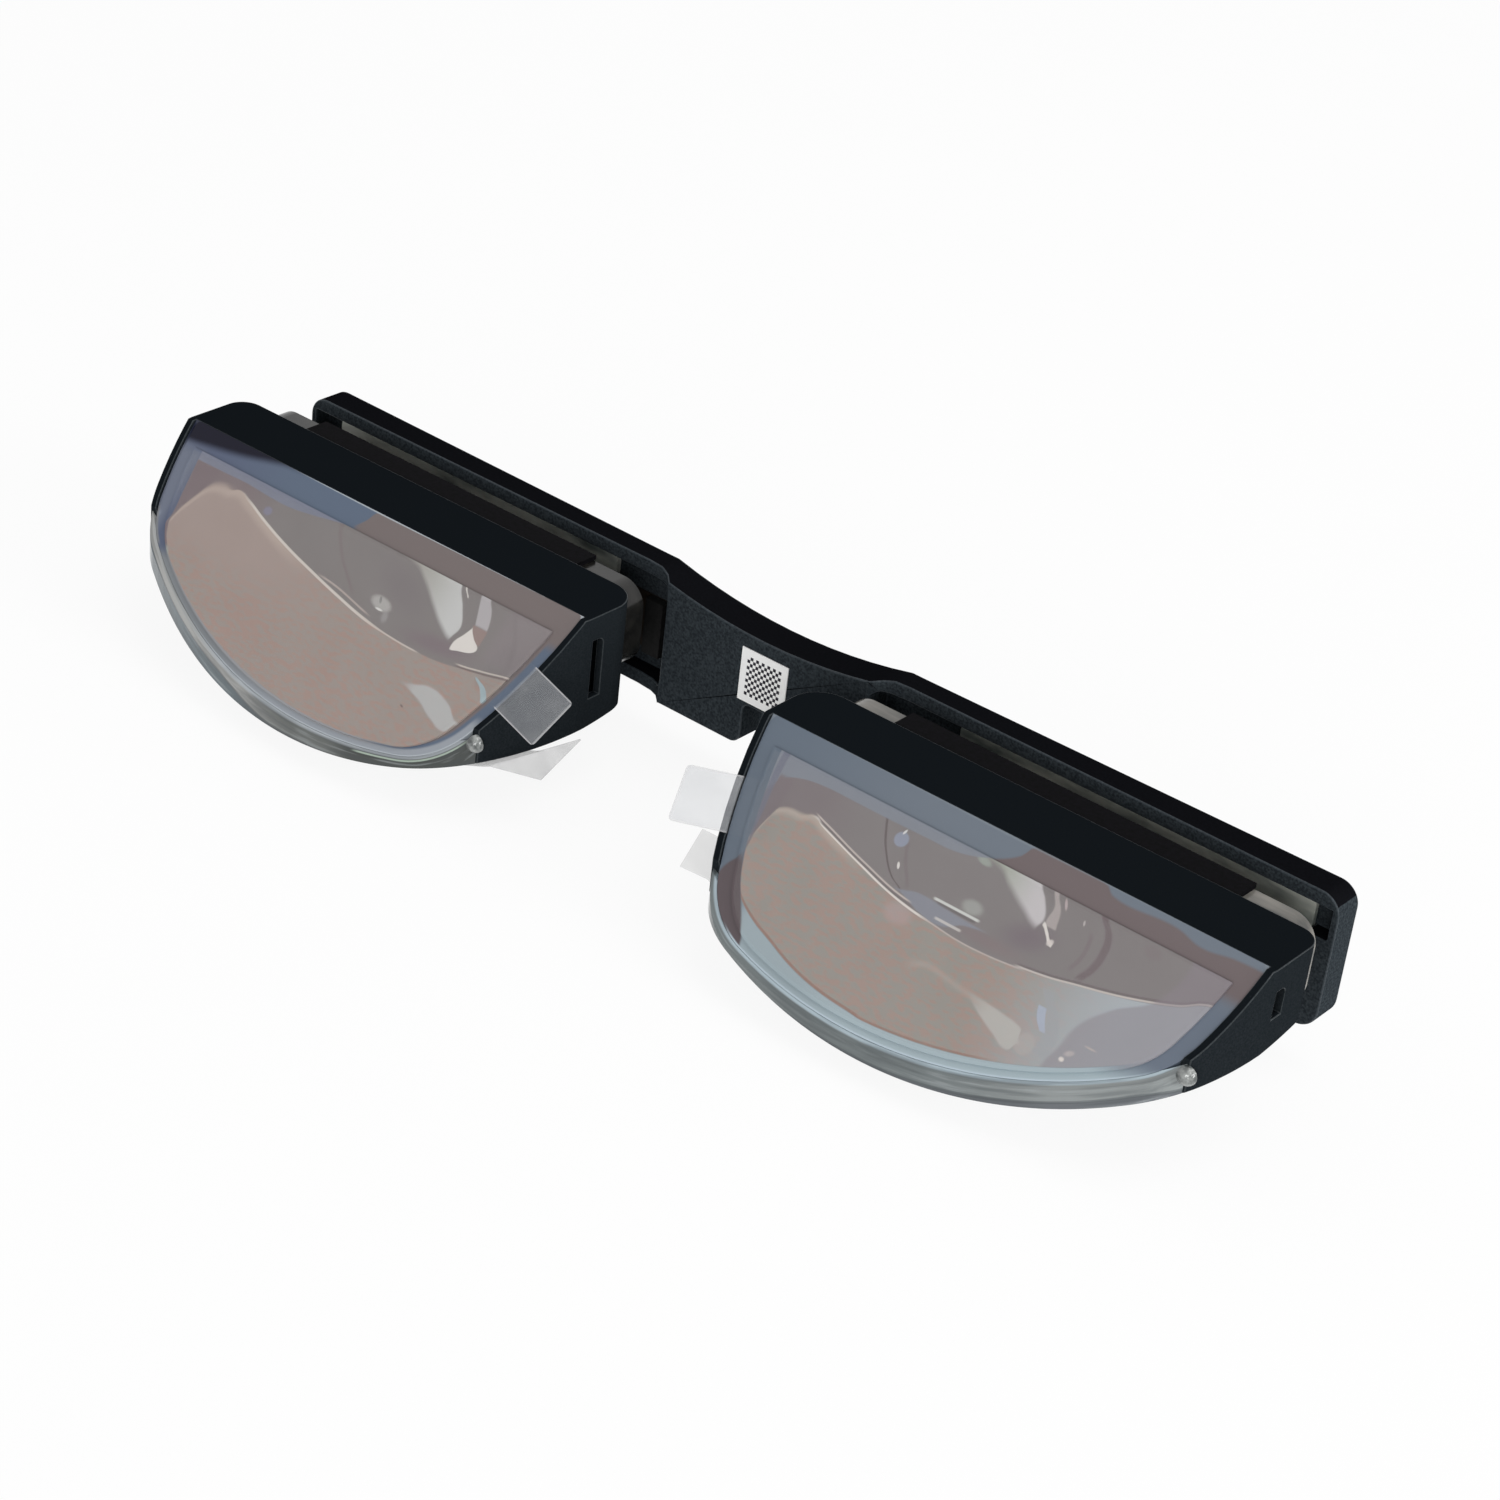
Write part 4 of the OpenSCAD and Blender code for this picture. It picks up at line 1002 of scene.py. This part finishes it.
# the left lens painted much darker than the right: a painted shade
for side, dark, pale in (
    ("left", srgb(6, 7, 7), srgb(33, 32, 30)), ("right", srgb(68, 69, 68), srgb(130, 126, 119))
):
    lens_grey[side], tree, shader = finish(side + "_lens_moulding", pale, 0.2, 0.3)
    streak = noise_at(tree, 420, 4, (0.35, 1.6, 1.6))
    wander(tree, shader, streak, dark, pale, 0.32, 0.68)
    shader.inputs["Transmission Weight"].default_value = 0.06
    shader.inputs["Coat Weight"].default_value = 0.1
    shader.inputs["Coat Roughness"].default_value = 0.15
cover, tree, shader = finish("cover_glass", (0.10, 0.11, 0.11), 0.05, 0.5)
wander(tree, shader, noise_at(tree, 200), (0.08, 0.09, 0.09), (0.13, 0.14, 0.14))
shader.inputs["Transmission Weight"].default_value = 0.7
for side in SIDES:
    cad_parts[side + "_lens"].material_slots[0].material = lens_grey[side]
    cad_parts[side + "_cover_glass"].material_slots[0].material = cover

# The adhesive. A cured bead of clear glue at the foot of each plate, a little cloudy,
# with a wet skin. Its light and dark grey knots are a painted reflection of what the
# clear glue shows.
glue_clear, tree, shader = finish("cured_adhesive", srgb(120, 123, 120), 0.12, 0.5)
knots = noise_at(tree, 1500, 3)
wander(tree, shader, knots, srgb(66, 70, 70), srgb(148, 151, 149), 0.36, 0.7)
grain(tree, shader, knots, 0.25 * MM)
shader.inputs["Coat Weight"].default_value = 0.5
for side in SIDES:
    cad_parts[side + "_glue"].material_slots[0].material = glue_clear

# The black strips, display stacks and ribbons. The strip shuts the gap over the frame;
# the rest sits in the bar's pocket, with the carrier's grey sheet as its ceiling. The
# sheet's pale streaks are a painted reflection.
strip, tree, shader = finish("strip_black", srgb(18, 16, 20), 0.7, 0.02)
weave = noise_at(tree, 2600, 3)
grain(tree, shader, weave, 0.01 * MM)
wander(tree, shader, weave, srgb(8, 8, 9), srgb(13, 12, 15))
panel, tree, shader = finish("panel_dark", (0.02, 0.02, 0.03), 0.12, 0.5)
wander(tree, shader, noise_at(tree, 900), (0.015, 0.015, 0.024), (0.026, 0.026, 0.036))
# pale streaks on the sheet: a painted reflection; the same noise gives its rolled grain
sheet, tree, shader = finish("carrier_sheet", srgb(90, 96, 92), 0.4, 0.3)
rolled_grain_and_reflection = noise_at(tree, 260, 3, (0.6, 2, 2))
grain(tree, shader, rolled_grain_and_reflection, 0.02 * MM)
wander(tree, shader, rolled_grain_and_reflection, srgb(104, 112, 110), srgb(194, 197, 188), 0.36, 0.62)
ribbon, tree, shader = finish("ribbon", (0.02, 0.014, 0.01), 0.5, 0.1)
strands = noise_at(tree, 800, 2, (0.2, 1, 1))
wander(tree, shader, strands, (0.014, 0.010, 0.008), (0.024, 0.017, 0.012))
plug, tree, shader = finish("connector_black", (0.008, 0.008, 0.008), 0.6, 0.1)
wander(tree, shader, noise_at(tree, 2500), (0.006, 0.006, 0.006), (0.011, 0.011, 0.011))
stack = {
    "shield_tape": strip, "display": panel, "carrier": sheet, "flex": ribbon, "connector": plug
}
for side in SIDES:
    for node, material in stack.items():
        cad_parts[side + "_" + node].material_slots[0].material = material

# The table and the light. A plain pale floor, three soft boxes and an even room. What
# the camera, gloss and clear parts see of floor and room is white.
floor_mesh = bpy.data.meshes.new("floor")
slab = bmesh.new()
bmesh.ops.create_grid(slab, x_segments=1, y_segments=1, size=3)
slab.to_mesh(floor_mesh)
slab.free()
floor = link("floor", floor_mesh)


def seeing_rays(tree):
    """1 for the rays of the camera, of gloss and through clear parts, 0 for the rest."""
    kinds = tree.nodes.new("ShaderNodeLightPath")
    total = kinds.outputs["Is Camera Ray"]
    for name in ("Is Glossy Ray", "Is Transmission Ray"):
        more = tree.nodes.new("ShaderNodeMath")
        more.operation = "MAXIMUM"
        tree.links.new(total, more.inputs[0])
        tree.links.new(kinds.outputs[name], more.inputs[1])
        total = more.outputs[0]
    return total


glow_share = 0.9
paper, tree, shader = finish("floor_paper", (0.9, 0.9, 0.9), 0.9, 0.1)
wander(tree, shader, noise_at(tree, 40), (0.89, 0.89, 0.89), (0.91, 0.91, 0.91))
glow = tree.nodes.new("ShaderNodeEmission")
glow.inputs["Strength"].default_value = 1
blend = tree.nodes.new("ShaderNodeMixShader")
share = tree.nodes.new("ShaderNodeMath")
share.operation = "MULTIPLY"
share.inputs[1].default_value = glow_share
tree.links.new(seeing_rays(tree), share.inputs[0])
tree.links.new(share.outputs[0], blend.inputs["Fac"])
tree.links.new(shader.outputs["BSDF"], blend.inputs[1])
tree.links.new(glow.outputs["Emission"], blend.inputs[2])
tree.links.new(blend.outputs["Shader"], tree.nodes["Material Output"].inputs["Surface"])
floor_mesh.materials.append(paper)

room_light = 0.45
room = bpy.data.worlds.new("room")
room.use_nodes = True
bpy.context.scene.world = room
tree = room.node_tree
lit = tree.nodes["Background"]
lit.inputs["Color"].default_value = (1, 1, 1, 1)
lit.inputs["Strength"].default_value = room_light
shown = tree.nodes.new("ShaderNodeBackground")
shown.inputs["Color"].default_value = (1, 1, 1, 1)
shown.inputs["Strength"].default_value = 1
pick = tree.nodes.new("ShaderNodeMixShader")
tree.links.new(seeing_rays(tree), pick.inputs["Fac"])
tree.links.new(lit.outputs[0], pick.inputs[1])
tree.links.new(shown.outputs[0], pick.inputs[2])
tree.links.new(pick.outputs[0], tree.nodes["World Output"].inputs["Surface"])


def soft_box(name, at, size, power):
    """A soft rectangular lamp that faces the middle of the table."""
    lamp = bpy.data.lights.new(name, "AREA")
    lamp.shape = "RECTANGLE"
    lamp.size, lamp.size_y = size
    lamp.energy = power
    box = bpy.data.objects.new(name, lamp)
    box.location = at
    box.rotation_euler = (-Vector(at)).to_track_quat("-Z", "Y").to_euler()
    bpy.context.scene.collection.objects.link(box)


soft_box("soft_box_top", (0.3, 0.15, 0.9), (0.6, 0.6), 2.8)
soft_box("soft_box_front", (0.45, -0.85, 0.3), (0.6, 0.4), 5.0)
soft_box("soft_box_side", (0.9, 0.15, 0.22), (0.4, 0.5), 5.5)
